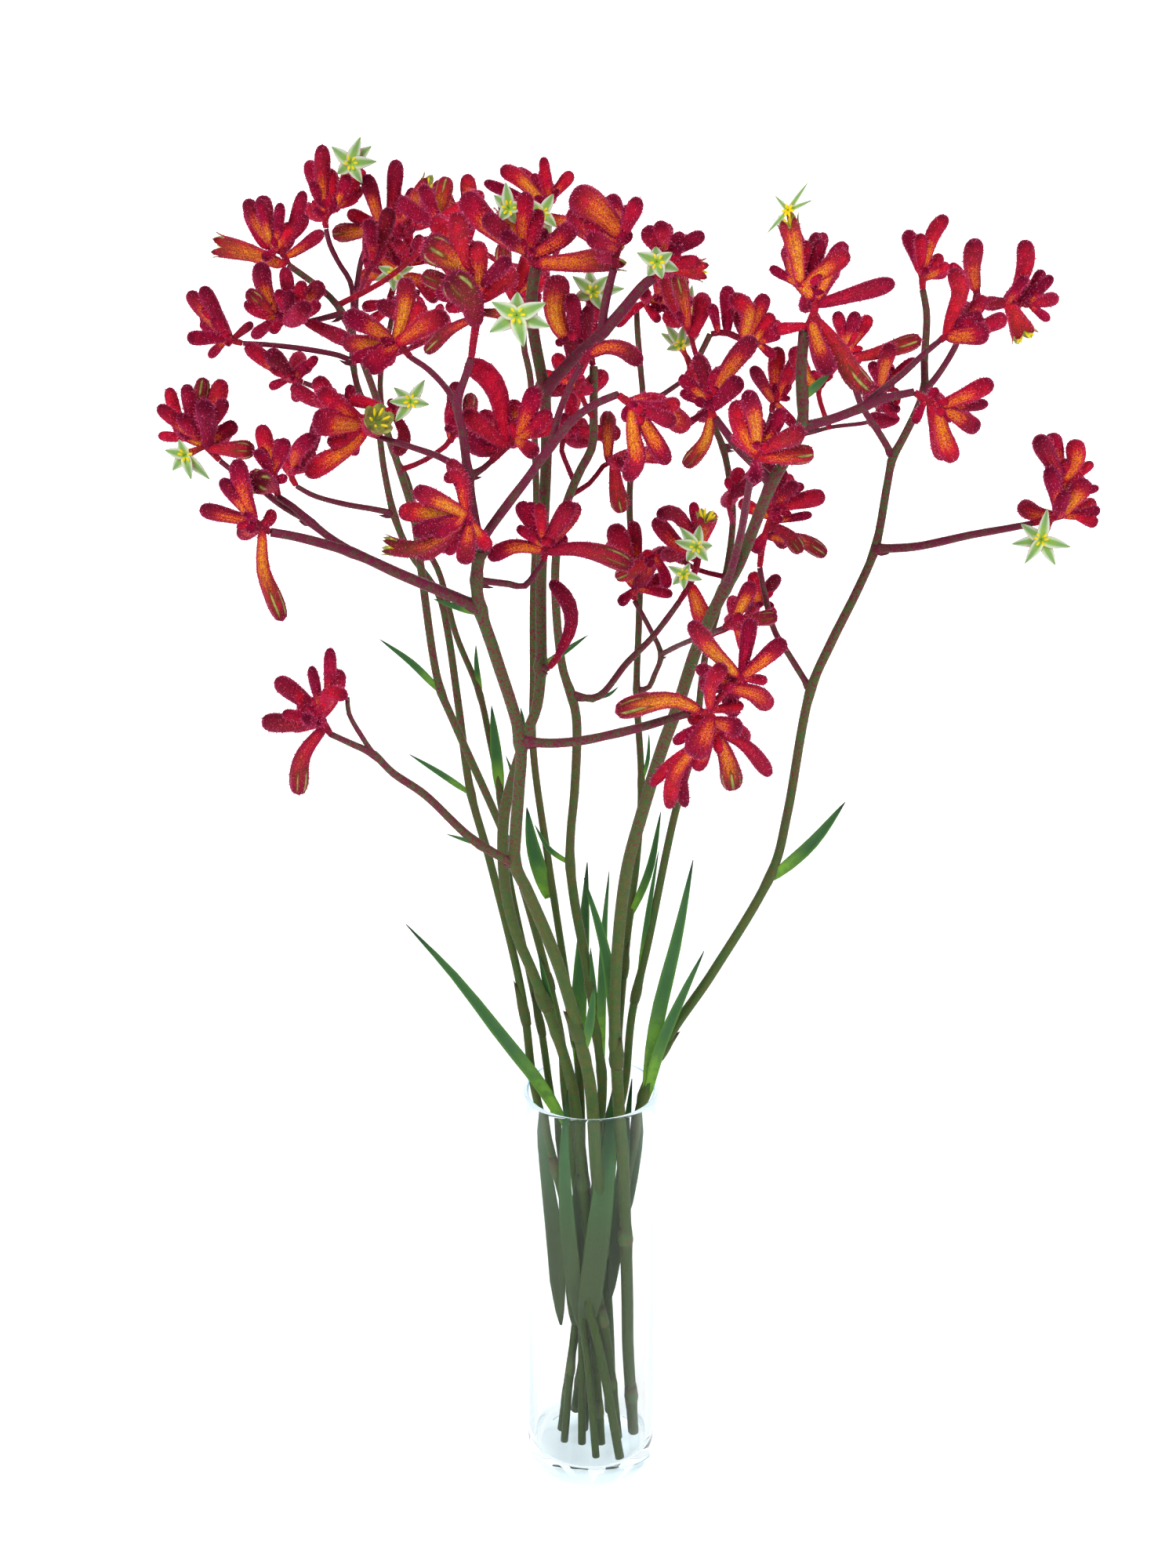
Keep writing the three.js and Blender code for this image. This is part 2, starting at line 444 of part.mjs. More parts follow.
    ["bud", 18, [1110, 403], [1082, 446], 6],
    ["slit", 22, [1176, 432], [1120, 450], [1084, 458], -4],
    ["bud", 14, [1112, 462], [1122, 494], -6],
    ["bud", 12, [1135, 464], [1138, 496]]]},
  "head_22": {"depth": -66, "rachis": [[[1166, 500], [1184, 512], [1204, 522]]], "flowers": [
    ["bud", 22, [1267, 487], [1230, 505], [1198, 517]],
    ["bud", 15, [1260, 515], [1202, 521], 8],
    ["bud", 23, [1249, 548], [1205, 523], -8],
    ["bud", 24, [1203, 587], [1195, 545], [1186, 514], 5],
    ["bud", 12, [1166, 540], [1180, 510], -6]]},
  "head_23": {"depth": -52, "rachis": [[[1198, 435], [1208, 428], [1224, 424]]], "flowers": [
    ["bud", 20, [1256, 378], [1222, 425], 8],
    ["bud", 26, [1262, 424], [1206, 430], -6],
    ["bud", 18, [1284, 408], [1224, 424], 5],
    ["bud", 22, [1214, 342], [1225, 370], [1216, 398], [1206, 430], -4]]},
  "head_24": {"depth": 27, "rachis": [[[1177, 370], [1176, 352], [1174, 344]]], "flowers": [
    ["bud", 20, [1208, 275], [1192, 295], [1176, 348]],
    ["bud", 15, [1174, 298], [1174, 348], -8],
    ["bud", 15, [1210, 338], [1177, 356], 8]]},
  "head_25": {"depth": 0, "rachis": [[[1244, 387], [1246, 374], [1244, 366]]], "flowers": [
    ["bud", 24, [1244, 305], [1240, 340], [1245, 372]],
    ["bud", 12, [1212, 336], [1243, 372], 8]]},
  "head_26": {"depth": -7, "rachis": [[[1256, 389], [1284, 386], [1312, 388]]], "flowers": [
    ["bud", 22, [1307, 306], [1308, 335], [1292, 386]],
    ["bud", 16, [1330, 345], [1308, 387], 8],
    ["bud", 14, [1342, 352], [1310, 388], -8],
    ["bud", 17, [1348, 380], [1312, 388]],
    ["bud", 12, [1338, 408], [1312, 390], 6],
    ["open", 28, [1308, 432], [1298, 410], [1286, 387], -6]]},
  "head_27": {"depth": -20, "rachis": [[[1316, 668], [1345, 660], [1368, 654]], [[1348, 662],
    [1352, 632], [1354, 606]]],
    "flowers": [
    ["bud", 24, [1323, 556], [1338, 584], [1354, 610], -5],
    ["bud", 20, [1338, 596], [1346, 628], [1350, 652], -12],
    ["bud", 23, [1370, 560], [1372, 588], [1356, 616], 6],
    ["bud", 13, [1394, 590], [1356, 620], 8],
    ["bud", 12, [1402, 622], [1354, 632], -6],
    ["bud", 24, [1388, 612], [1352, 656], -4],
    ["bud", 19, [1396, 642], [1366, 655], 8],
    ["bud", 15, [1400, 668], [1366, 656], -8],
    ["star", 15, [1328, 688], [1342, 662], [[1336, 648], [1290, 694], [1307, 719], [1346, 721],
      [1366, 698], [1302, 668]]]]},
  "head_28": {"depth": -30, "rachis": [[[281, 588], [264, 570], [246, 556]]], "flowers": [
    ["bud", 17, [202, 518], [248, 558]],
    ["bud", 16, [215, 494], [226, 530], [246, 557], 8],
    ["bud", 18, [238, 490], [248, 556], -7],
    ["slit", 20, [260, 481], [250, 556], 9],
    ["bud", 18, [230, 530], [252, 562], -12],
    ["bud", 18, [288, 510], [256, 562], -6],
    ["bud", 18, [302, 540], [262, 568], 5],
    ["slit", 22, [324, 574], [266, 572], -8],
    ["bud", 13, [202, 556], [250, 560], 6],
    ["star", 14, [236, 580], [262, 570], [[210, 574], [220, 600], [244, 612], [268, 612],
      [228, 560]]]]},
  "head_29": {"depth": -46, "rachis": [[[355, 634], [350, 616], [346, 604]]], "flowers": [
    ["bud", 16, [333, 570], [347, 610], 6],
    ["slit", 32, [322, 612], [350, 622], -16],
    ["bud", 18, [365, 560], [349, 606], -6]]},
  "head_30": {"depth": 40, "rachis": [[[378, 620], [372, 608], [376, 596]]], "flowers": [
    ["bud", 20, [401, 556], [380, 575], [374, 604]],
    ["dark", 16, [404, 536], [398, 570], [376, 600], 8],
    ["bud", 14, [352, 560], [372, 600], 6]]},
  "head_31": {"depth": -64, "rachis": [[[346, 679], [334, 673], [322, 662]]], "flowers": [
    ["bud", 23, [302, 586], [310, 625], [325, 664]],
    ["bud", 18, [282, 611], [324, 664], -9],
    ["bud", 22, [255, 649], [326, 667], 6],
    ["slit", 23, [361, 793], [348, 760], [336, 728], [333, 676], -5]]},
  "head_32": {"depth": 55, "rachis": [[[387, 488], [378, 484], [368, 482]]], "flowers": [
    ["dark", 24, [343, 448], [374, 484]],
    ["bud", 12, [404, 455], [378, 484], -6],
    ["bud", 12, [344, 494], [370, 484], 5],
    ["bud", 13, [378, 512], [376, 486], -8]]},
  "head_33": {"depth": -38, "rachis": [[[485, 558], [468, 546], [456, 536]], [[472, 550],
    [496, 528], [516, 520]]],
    "flowers": [
    ["bud", 22, [408, 498], [456, 536]],
    ["bud", 32, [400, 538], [460, 542], -12],
    ["cup", 34, [484, 534], [470, 548], -12],
    ["bud", 26, [390, 606], [415, 590], [445, 570], [468, 548], 5],
    ["star", 14, [524, 512], [512, 522], [[502, 494], [542, 484], [496, 512], [504, 538], [548, 516]]],
    ["dark", 20, [506, 580], [516, 556], [502, 526], 9]]},
  "head_34": {"depth": -52, "rachis": [[[625, 590], [640, 575], [654, 562], [668, 553]]], "flowers": [
    ["bud", 28, [593, 463], [620, 478], [636, 505], [644, 572], 6],
    ["bud", 24, [591, 526], [646, 570], -8],
    ["bud", 24, [684, 493], [668, 540], [658, 560], -5],
    ["bud", 20, [656, 510], [655, 562], 10],
    ["bud", 20, [700, 534], [666, 556], 6],
    ["bud", 20, [684, 580], [660, 562], -8]]},
  "head_35": {"depth": -84, "rachis": [[[788, 503], [800, 512], [814, 520]]], "flowers": [
    ["bud", 24, [798, 614], [812, 586], [808, 556], [804, 516], -4],
    ["bud", 20, [867, 512], [840, 522], [812, 520], 6],
    ["bud", 20, [862, 540], [814, 522], -6],
    ["bud", 20, [842, 578], [812, 521], 8]]},
  "head_36": {"depth": -75, "rachis": [[[741, 465], [748, 456], [754, 450]]], "flowers": [
    ["bud", 22, [819, 464], [795, 446], [772, 443], [750, 454], -5]]},
  "head_37": {"depth": -42, "rachis": [[[693, 716], [695, 702], [692, 692]]], "flowers": [
    ["bud", 20, [662, 640], [692, 692], 5],
    ["bud", 15, [688, 642], [693, 694], -9],
    ["bud", 22, [730, 640], [696, 696], -5],
    ["bud", 13, [660, 672], [693, 698], -7],
    ["bud", 22, [622, 712], [655, 697], [694, 702], -6],
    ["slit", 25, [808, 723], [770, 707], [735, 700], [696, 704], -8]]},
  "head_38": {"depth": -76, "rachis": [[[600, 674], [598, 660], [590, 652]]], "flowers": [
    ["bud", 18, [566, 612], [583, 608], [594, 655], -5],
    ["bud", 24, [508, 653], [592, 654], 5],
    ["bud", 20, [526, 680], [594, 660], -10],
    ["bud", 26, [533, 710], [596, 666], 8],
    ["bud", 22, [592, 720], [600, 668], -8],
    ["bud", 18, [624, 700], [600, 664], 6],
    ["open", 22, [487, 694], [530, 700], [596, 664], -2]]},
  "head_39": {"depth": -76, "rachis": [[[880, 909], [898, 908], [914, 922], [914, 938]],
    [[902, 908], [925, 882], [946, 862]]],
    "flowers": [
    ["slit", 28, [784, 909], [820, 898], [860, 893], [896, 906], -6],
    ["bud", 21, [924, 848], [908, 870], [905, 905], -10],
    ["bud", 24, [945, 930], [912, 918], -9],
    ["bud", 15, [948, 900], [906, 908], 10],
    ["bud", 34, [884, 966], [898, 935], [908, 914], -10],
    ["slit", 28, [936, 1008], [928, 970], [914, 936], -4],
    ["bud", 20, [983, 989], [950, 950], [914, 932], 6],
    ["bud", 15, [830, 1003], [858, 972], [880, 955], [908, 924], 6],
    ["bud", 20, [853, 1032], [862, 985], [890, 950], [910, 928], 2],
    ["bud", 17, [874, 1030], [870, 985], [895, 950], [912, 930], 10],
    ["bud", 24, [880, 793], [905, 825], [944, 864], -5],
    ["bud", 21, [958, 788], [948, 862], 5],
    ["bud", 22, [1002, 816], [965, 848], [944, 864], -4],
    ["bud", 14, [978, 868], [944, 864], 7]]},
  "head_40": {"depth": 52, "rachis": [[[809, 766], [810, 748], [818, 738]]], "flowers": [
    ["bud", 28, [783, 668], [796, 710], [810, 750], -4],
    ["bud", 18, [808, 664], [814, 744], 8],
    ["bud", 16, [846, 703], [816, 742], -6],
    ["bud", 16, [852, 736], [814, 746], 6],
    ["bud", 14, [858, 758], [812, 750], -8],
    ["bud", 14, [790, 770], [810, 752], -9]]},
  "head_41": {"depth": -68, "rachis": [[[421, 936], [413, 922], [410, 912]]], "flowers": [
    ["bud", 17, [421, 826], [420, 878], [411, 914]],
    ["bud", 15, [397, 850], [409, 914], -8],
    ["bud", 15, [376, 880], [395, 905], [411, 918], 6],
    ["bud", 16, [360, 910], [412, 921], -7],
    ["bud", 20, [442, 888], [420, 884], [410, 912], -12],
    ["bud", 12, [372, 930], [413, 924], 8],
    ["slit", 24, [380, 1014], [386, 965], [414, 926], -3]]},
  "head_42": {"depth": 4, "rachis": [[[923, 801], [934, 792], [940, 800]]], "flowers": [
    ["bud", 20, [960, 742], [934, 794], 6],
    ["slit", 19, [992, 786], [936, 794], -6],
    ["bud", 15, [952, 832], [938, 798], 6]]},
  "head_43": {"depth": 14, "rachis": [[[866, 768], [880, 745], [890, 715], [892, 690]]], "flowers": [
    ["star", 12, [872, 732], [882, 744], [[852, 722], [858, 746], [880, 718], [896, 740], [872, 752]]],
    ["bud", 24, [898, 796], [888, 765], [881, 745], 6],
    ["bud", 20, [838, 657], [860, 655], [890, 695]],
    ["bud", 14, [884, 640], [892, 692], 8],
    ["cup", 24, [902, 655], [892, 692], -4],
    ["star", 15, [888, 697], [891, 708], [[867, 672], [893, 669], [860, 690], [909, 696],
      [903, 716], [876, 716]]]]},
  "head_44": {"depth": 20, "rachis": [[[969, 724], [973, 692], [982, 664], [990, 640]]], "flowers": [
    ["slit", 20, [1023, 705], [1004, 682], [980, 668], -5],
    ["bud", 12, [1036, 656], [982, 666], 6],
    ["slit", 20, [1054, 708], [1024, 690], [976, 684], 8],
    ["bud", 18, [1016, 615], [988, 644], -5],
    ["bud", 13, [1000, 598], [990, 642], 8],
    ["bud", 16, [942, 640], [984, 660], 6],
    ["bud", 16, [962, 704], [976, 680], -8]]},
  "head_45": {"depth": -22, "rachis": [[[700, 852], [708, 842], [713, 834]]], "flowers": [
    ["bud", 20, [702, 740], [725, 770], [728, 800], [711, 838], -5]]},
};

// Cross-sections along a flower from its root to its tip: how far along, and
// how wide as a share of the flower's own width.
const FORMS = {
  bud: [[0, 0], [0.35, 0.72], [0.76, 1], [1, 0]],
  dark: [[0, 0], [0.35, 0.68], [0.76, 0.9], [1, 0]],
  slit: [[0, 0], [0.35, 0.68], [0.8, 1], [1, 0.5]],
  open: [[0, 0], [0.35, 0.66], [0.78, 1], [1, 0.8]],
  cup: [[0, 0], [0.5, 0.9], [1, 0.8]],
  throat: [[0, 0], [0.6, 0.7], [1, 0.75]],
};

// A closed surface through rings of corners along a line. Each ring has a
// half-width across and a half-width in depth; a ring of no width is a point.
function sweep(points, halfWidths, sides, halfDepths = halfWidths) {
  const count = points.length;
  const corners = [];
  const rings = [];
  const side = new THREE.Vector3();
  points.forEach((point, i) => {
    const before = points[Math.max(i - 1, 0)];
    const after = points[Math.min(i + 1, count - 1)];
    const along = after.clone().sub(before).normalize();
    if (i === 0) {
      side.crossVectors(along, new THREE.Vector3(0, 1, 0));
      if (side.length() < 0.2) side.crossVectors(along, new THREE.Vector3(1, 0, 0));
    }
    side.addScaledVector(along, -side.dot(along)).normalize();
    const deep = new THREE.Vector3().crossVectors(along, side);
    if (halfWidths[i] === 0) {
      rings.push([corners.length]);
      corners.push(point.clone());
      return;
    }
    rings.push(Array.from({ length: sides }, (_, k) => corners.length + k));
    for (let k = 0; k < sides; k += 1) {
      const angle = (2 * Math.PI * k) / sides;
      corners.push(point.clone()
        .addScaledVector(side, halfWidths[i] * Math.cos(angle))
        .addScaledVector(deep, halfDepths[i] * Math.sin(angle)));
    }
  });
  const triangles = [];
  for (let i = 0; i + 1 < count; i += 1) {
    const low = rings[i];
    const high = rings[i + 1];
    for (let k = 0; k < sides; k += 1) {
      const next = (k + 1) % sides;
      if (low.length > 1) triangles.push([low[k], low[next], high[high.length > 1 ? next : 0]]);
      if (high.length > 1) triangles.push([low[low.length > 1 ? k : 0], high[next], high[k]]);
    }
  }
  for (let k = 1; k + 1 < sides; k += 1) {
    const first = rings[0];
    const last = rings[count - 1];
    if (first.length > 1) triangles.push([first[0], first[k + 1], first[k]]);
    if (last.length > 1) triangles.push([last[0], last[k], last[k + 1]]);
  }
  return solid(corners, triangles);
}

// A manifold solid from corners and triangles, turned so that it is not inside out
function solid(corners, triangles) {
  let volume = 0;
  for (const [a, b, c] of triangles) {
    volume += corners[a].dot(new THREE.Vector3().crossVectors(corners[b], corners[c]));
  }
  const turned = volume < 0 ? triangles.map(([a, b, c]) => [a, c, b]) : triangles;
  const vertProperties = new Float32Array(corners.flatMap((p) => [p.x, p.y, p.z]));
  const triVerts = new Uint32Array(turned.flat());
  return new wasm.Manifold(new wasm.Mesh({ numProp: 3, vertProperties, triVerts }));
}

// Joined solids as one body: a sealed hollow is filled and a loose scrap dropped
function joinAll(solids) {
  const joined = solids.reduce((sum, next) => sum.add(next));
  const bodies = joined.decompose();
  return bodies.reduce((best, body) => (body.volume() > best.volume() ? body : best));
}

function toMesh(manifold, name, material) {
  const { vertProperties, triVerts } = manifold.getMesh();
  const geometry = new THREE.BufferGeometry();
  geometry.setAttribute('position', new THREE.BufferAttribute(vertProperties, 3));
  geometry.setIndex(new THREE.BufferAttribute(triVerts, 1));
  geometry.computeVertexNormals();
  const mesh = new THREE.Mesh(geometry, material);
  mesh.name = name;
  return mesh;
}

// Points at the given shares of a smooth line's length
function along(points, shares) {
  const line = new THREE.CatmullRomCurve3(points, false, 'centripetal');
  return shares.map((share) => line.getPointAt(share));
}

// A round stem through its points, thinning evenly from the last to the first
function tube(points, topWidth, bottomWidth, sides, extra = 0) {
  const last = points.length - 1;
  const radii = points.map((_, i) => (topWidth + ((bottomWidth - topWidth) * i) / last) / 2 + extra);
  return sweep(points, radii, sides);
}

function placed(line) {
  return line.map(([across, down, depth]) => place([across, down], depth));
}

// A leaf: a thin pointed blade from its tip to its root, sunk into the stem
function leaf({ width, line }) {
  const halfWidths = LEAF.widths.map((share) => (share * width) / 2);
  const halfDepths = LEAF.thicknesses.map((share) => (share * LEAF.thickness) / 2);
  const points = along(placed(line), LEAF.places);
  return sweep(points, [LEAF.tip, ...halfWidths], LEAF.sides, [LEAF.tip, ...halfDepths]);
}

// A stem's middle line from its top to its foot, which stands just off the glass
function stemPoints(stem) {
  const inside = stem.foot.map(([x, y, z]) => new THREE.Vector3(x, y, z));
  inside[inside.length - 1].z = VASE.floor + SEAT_GAP + FOOT_RISE * stem.width[1];
  return [...placed(stem.line), ...inside];
}

// The bare stem with its branches, fattened all round by the extra radius
function stemTubes(stem, extra = 0) {
  const [top, foot] = stem.width;
  const main = tube(stemPoints(stem), top, foot, STEM_SIDES + (foot < STOUT.stemWidth ? 0 : 1), extra);
  const branches = stem.branches.map(({ width: [start, end], line }) => (
    tube(placed(line), end, start, BRANCH_SIDES + (start < STOUT.branchWidth ? 0 : 1), extra)));
  return [main, ...branches];
}

// A place a given distance on from one point towards another
function movedOn(from, to, distance) {
  return from.clone().lerp(to, distance / from.distanceTo(to));
}

// The nearest place to a point on the middle lines of a head's rachis, clear of
// the end that sits on the branch
function nearestOn(lines, point) {
  const spot = new THREE.Vector3();
  let best = null;
  for (const line of lines) {
    for (let i = 0; i + 1 < line.length; i += 1) {
      const start = line === lines[0] && i === 0 ? movedOn(line[0], line[1], RACHIS.radius) : line[i];
      new THREE.Line3(start, line[i + 1]).closestPointToPoint(point, true, spot);
      if (!best || spot.distanceTo(point) < best.distanceTo(point)) best = spot.clone();
    }
  }
  return best;
}

// A flower's own root is kept where it lies off the rachis, and its stalk goes on to it
function rooted(points, lines) {
  const seat = nearestOn(lines, points[0]);
  const hasStalk = seat.distanceTo(points[0]) > FLOWER.stalkLength;
  return hasStalk ? [seat, ...points] : [seat, ...points.slice(1)];
}

function flowerSolid([form, width, ...rest], depth, index, lines) {
  const given = typeof rest[rest.length - 1] === 'number' ? rest[rest.length - 1] : null;
  const picture = rest.filter(Array.isArray);
  const scale = mmPerUnit(picture[0], depth);
  let seen = 0;
  for (let i = 1; i < picture.length; i += 1) {
    seen += scale * Math.hypot(picture[i][0] - picture[i - 1][0], picture[i][1] - picture[i - 1][1]);
  }
  const unseen = Math.sqrt(Math.max(FLOWER.length ** 2 - seen ** 2, 0));
  const hidden = Math.min(FLOWER.maxLean, FLOWER.hiddenShare * unseen);
  const share = width < FLOWER.smallWidth ? FLOWER.smallLeanShare : FLOWER.leanShare;
  const lean = given ?? (index % 2 === 0 ? -1 : 1) * share * hidden;
  const last = picture.length - 1;
  const free = picture.map((point, i) => place(point, depth, (lean * (last - i)) / last)).reverse();
  const stations = FORMS[form].map(([station]) => station);
  const halfWidths = FORMS[form].map(([, wide]) => (wide * width * scale) / 2);
  const sides = 3 + FLOWER.sideWidths.filter((limit) => width >= limit).length;
  return sweep(along(rooted(free, lines), stations), halfWidths, sides);
}

// A flat star with pointed lobes: the tips in order round the middle, with a
// notch between each two, and the same corners on its front and back
function starPlate(centre, tips, notch) {
  const turnOf = (p) => Math.atan2(p.z - centre.z, p.x - centre.x);
  const ordered = [...tips].sort((a, b) => turnOf(a) - turnOf(b));
  const rim = ordered.flatMap((tip, i) => {
    const next = ordered[(i + 1) % ordered.length];
    const step = (turnOf(next) - turnOf(tip) + 2 * Math.PI) % (2 * Math.PI);
    const turn = turnOf(tip) + step / 2;
    const dent = new THREE.Vector3(Math.cos(turn), 0, Math.sin(turn)).multiplyScalar(notch).add(centre);
    return [tip, dent];
  });
  const count = rim.length;
  const back = (amount) => (p) => new THREE.Vector3(p.x, p.y + amount, p.z);
  const corners = [
    ...rim.map(back(-STAR.thickness / 2)), ...rim.map(back(STAR.thickness / 2)),
    back(-STAR.thickness)(centre), back(STAR.thickness)(centre),
  ];
  const triangles = [];
  for (let i = 0; i < count; i += 1) {
    const next = (i + 1) % count;
    triangles.push([2 * count, next, i], [2 * count + 1, count + i, count + next]);
    triangles.push([i, next, count + next], [i, count + next, count + i]);
  }
  return solid(corners, triangles);
}

// An open flower seen from its mouth: a throat and a star of lobes
function starSolids([, lobeWidth, middle, root, tips, lean = STAR.lean], depth, lines) {
  const centre = place(middle, depth, lean);
  const base = nearestOn(lines, place(root, depth));
  const half = (lobeWidth * mmPerUnit(middle, depth)) / 2;
  const throat = sweep(
    FORMS.throat.map(([station]) => base.clone().lerp(centre, station)),
    FORMS.throat.map(([, wide]) => wide * half * STAR.throatShare),
    STAR.sides,
  );
  const ends = tips.map((tip, i) => place(tip, depth, lean + (i % 2 === 0 ? -1 : 1) * STAR.stagger));
  return [throat, starPlate(centre, ends, STAR.notchShare * half)];
}

// A head stands on the end of its branch and keeps clear of its own fattened stem
function buildHead({ depth, rachis, flowers }, ownStem) {
  const lines = rachis.map((line) => line.map((point) => place(point, depth)));
  const axes = lines.map((line, i) => {
    const last = line.length - 1;
    const end = movedOn(line[last], line[last - 1], -RACHIS.radius);
    const start = i === 0 ? movedOn(line[0], line[1], SEAT_GAP) : line[0];
    const points = [start, ...line.slice(1, -1), end];
    const radii = points.map((_, k) => (i === 0 && k === 0 ? RACHIS.seatRadius : RACHIS.radius));
    return sweep(points, radii, RACHIS.sides);
  });
  const blooms = flowers.flatMap((flower, i) => (
    flower[0] === 'star' ? starSolids(flower, depth, lines) : [flowerSolid(flower, depth, i, lines)]));
  return joinAll([joinAll([...axes, ...blooms]).subtract(ownStem)]);
}

// The glass: a straight round wall, slightly narrower at the neck, with a
// flared rounded rim and a thick floor
function buildVase() {
  const { height, neckHeight, baseRadius, neckRadius, rimRadius, wall, floor, cornerRadius } = VASE;
  const lip = wall / 2;
  const inside = baseRadius - wall;
  const outline = [
    [0, 0], [baseRadius - cornerRadius, 0], [baseRadius, cornerRadius],
    [neckRadius, neckHeight], [rimRadius, height - lip], [rimRadius - lip, height],
    [rimRadius - wall, height - lip], [neckRadius - wall, neckHeight],
    [inside, floor + cornerRadius], [inside - cornerRadius, floor], [0, floor],
  ].map(([x, y]) => new THREE.Vector2(x, y));
  const geometry = new THREE.LatheGeometry(outline, VASE.segments);
  geometry.rotateX(Math.PI / 2);
  return geometry;
}

const glass = new THREE.MeshStandardMaterial({
  color: '#e8f2f2', roughness: 0.05, metalness: 0, transparent: true, opacity: 0.3,
});
const matt = (color) => new THREE.MeshStandardMaterial({ color, roughness: 0.8, metalness: 0 });
const stemGreen = matt('#5b6a3a');
const velvetRed = matt('#a81430');

const bunch = new THREE.Group();

const vase = new THREE.Mesh(buildVase(), glass);
vase.name = 'vase';
bunch.add(vase);

// Which heads stand on which stem
const HEAD_OWNERS = {
  stem_01: [1, 3, 5, 30, 32],
  stem_02: [2, 4],
  stem_03: [6],
  stem_04: [7, 8, 28, 29, 31, 33, 34, 35, 36, 37, 38, 39, 41],
  stem_05: [9, 11, 12, 45],
  stem_06: [10],
  stem_07: [13, 43],
  stem_08: [14, 15, 40, 42],
  stem_09: [17, 19, 20, 22, 23],
  stem_10: [16, 18],
  stem_11: [21, 24, 25, 26, 27, 44],
};

for (const [stemName, numbers] of Object.entries(HEAD_OWNERS)) {
  const stem = STEMS[stemName];
  const withLeaves = joinAll([...stemTubes(stem), ...stem.leaves.map(leaf)]);
  bunch.add(toMesh(withLeaves, stemName, stemGreen));
  const clearance = joinAll(stemTubes(stem, SEAT_GAP));
  for (const number of numbers) {
    const name = `head_${String(number).padStart(2, '0')}`;
    bunch.add(toMesh(buildHead(HEADS[name], clearance), name, velvetRed));
  }
}

export default bunch;
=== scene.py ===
import math

import bmesh
import bpy
import numpy as np
from bpy.props import FloatProperty, FloatVectorProperty, IntProperty, PointerProperty
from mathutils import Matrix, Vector


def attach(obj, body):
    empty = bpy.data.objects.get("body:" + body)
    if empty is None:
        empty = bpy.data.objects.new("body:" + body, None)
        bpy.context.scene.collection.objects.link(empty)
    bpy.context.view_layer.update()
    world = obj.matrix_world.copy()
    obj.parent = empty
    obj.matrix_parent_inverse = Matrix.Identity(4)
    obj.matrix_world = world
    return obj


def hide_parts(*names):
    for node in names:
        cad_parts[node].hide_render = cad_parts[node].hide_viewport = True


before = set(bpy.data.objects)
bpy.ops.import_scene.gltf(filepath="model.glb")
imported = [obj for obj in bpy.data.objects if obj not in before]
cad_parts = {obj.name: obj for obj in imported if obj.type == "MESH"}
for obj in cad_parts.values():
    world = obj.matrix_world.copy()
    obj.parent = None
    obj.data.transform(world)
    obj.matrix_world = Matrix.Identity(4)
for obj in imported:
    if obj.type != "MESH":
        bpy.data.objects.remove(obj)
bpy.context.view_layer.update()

bl_info = {
    "name": "Kangaroo Paw in a Glass Vase",
    "version": (1, 0, 0),
    "blender": (4, 5, 0),
    "location": "3D View > Sidebar > Kangaroo Paw",
    "description": "Builds a bunch of red kangaroo paw standing in a clear glass cylinder vase",
    "category": "Add Mesh",
}

MM = 0.001
TURN = 2 * math.pi

# The eye point from which the bunch is laid out: a place is a picture coordinate (across, down) and a
# depth in mm behind the vase's axis. Depths are those at the rim, and the bunch spreads above it.
EYE = {"x": -1.5, "y": -929.0, "z": 716.0, "tilt": math.radians(18.8), "focal": 2486.0,
       "middle": (750.0, 1000.0), "picture": (1500.0, 2000.0)}
SPREAD = {"gain": 0.4, "from": 1385.0, "to": 885.0}

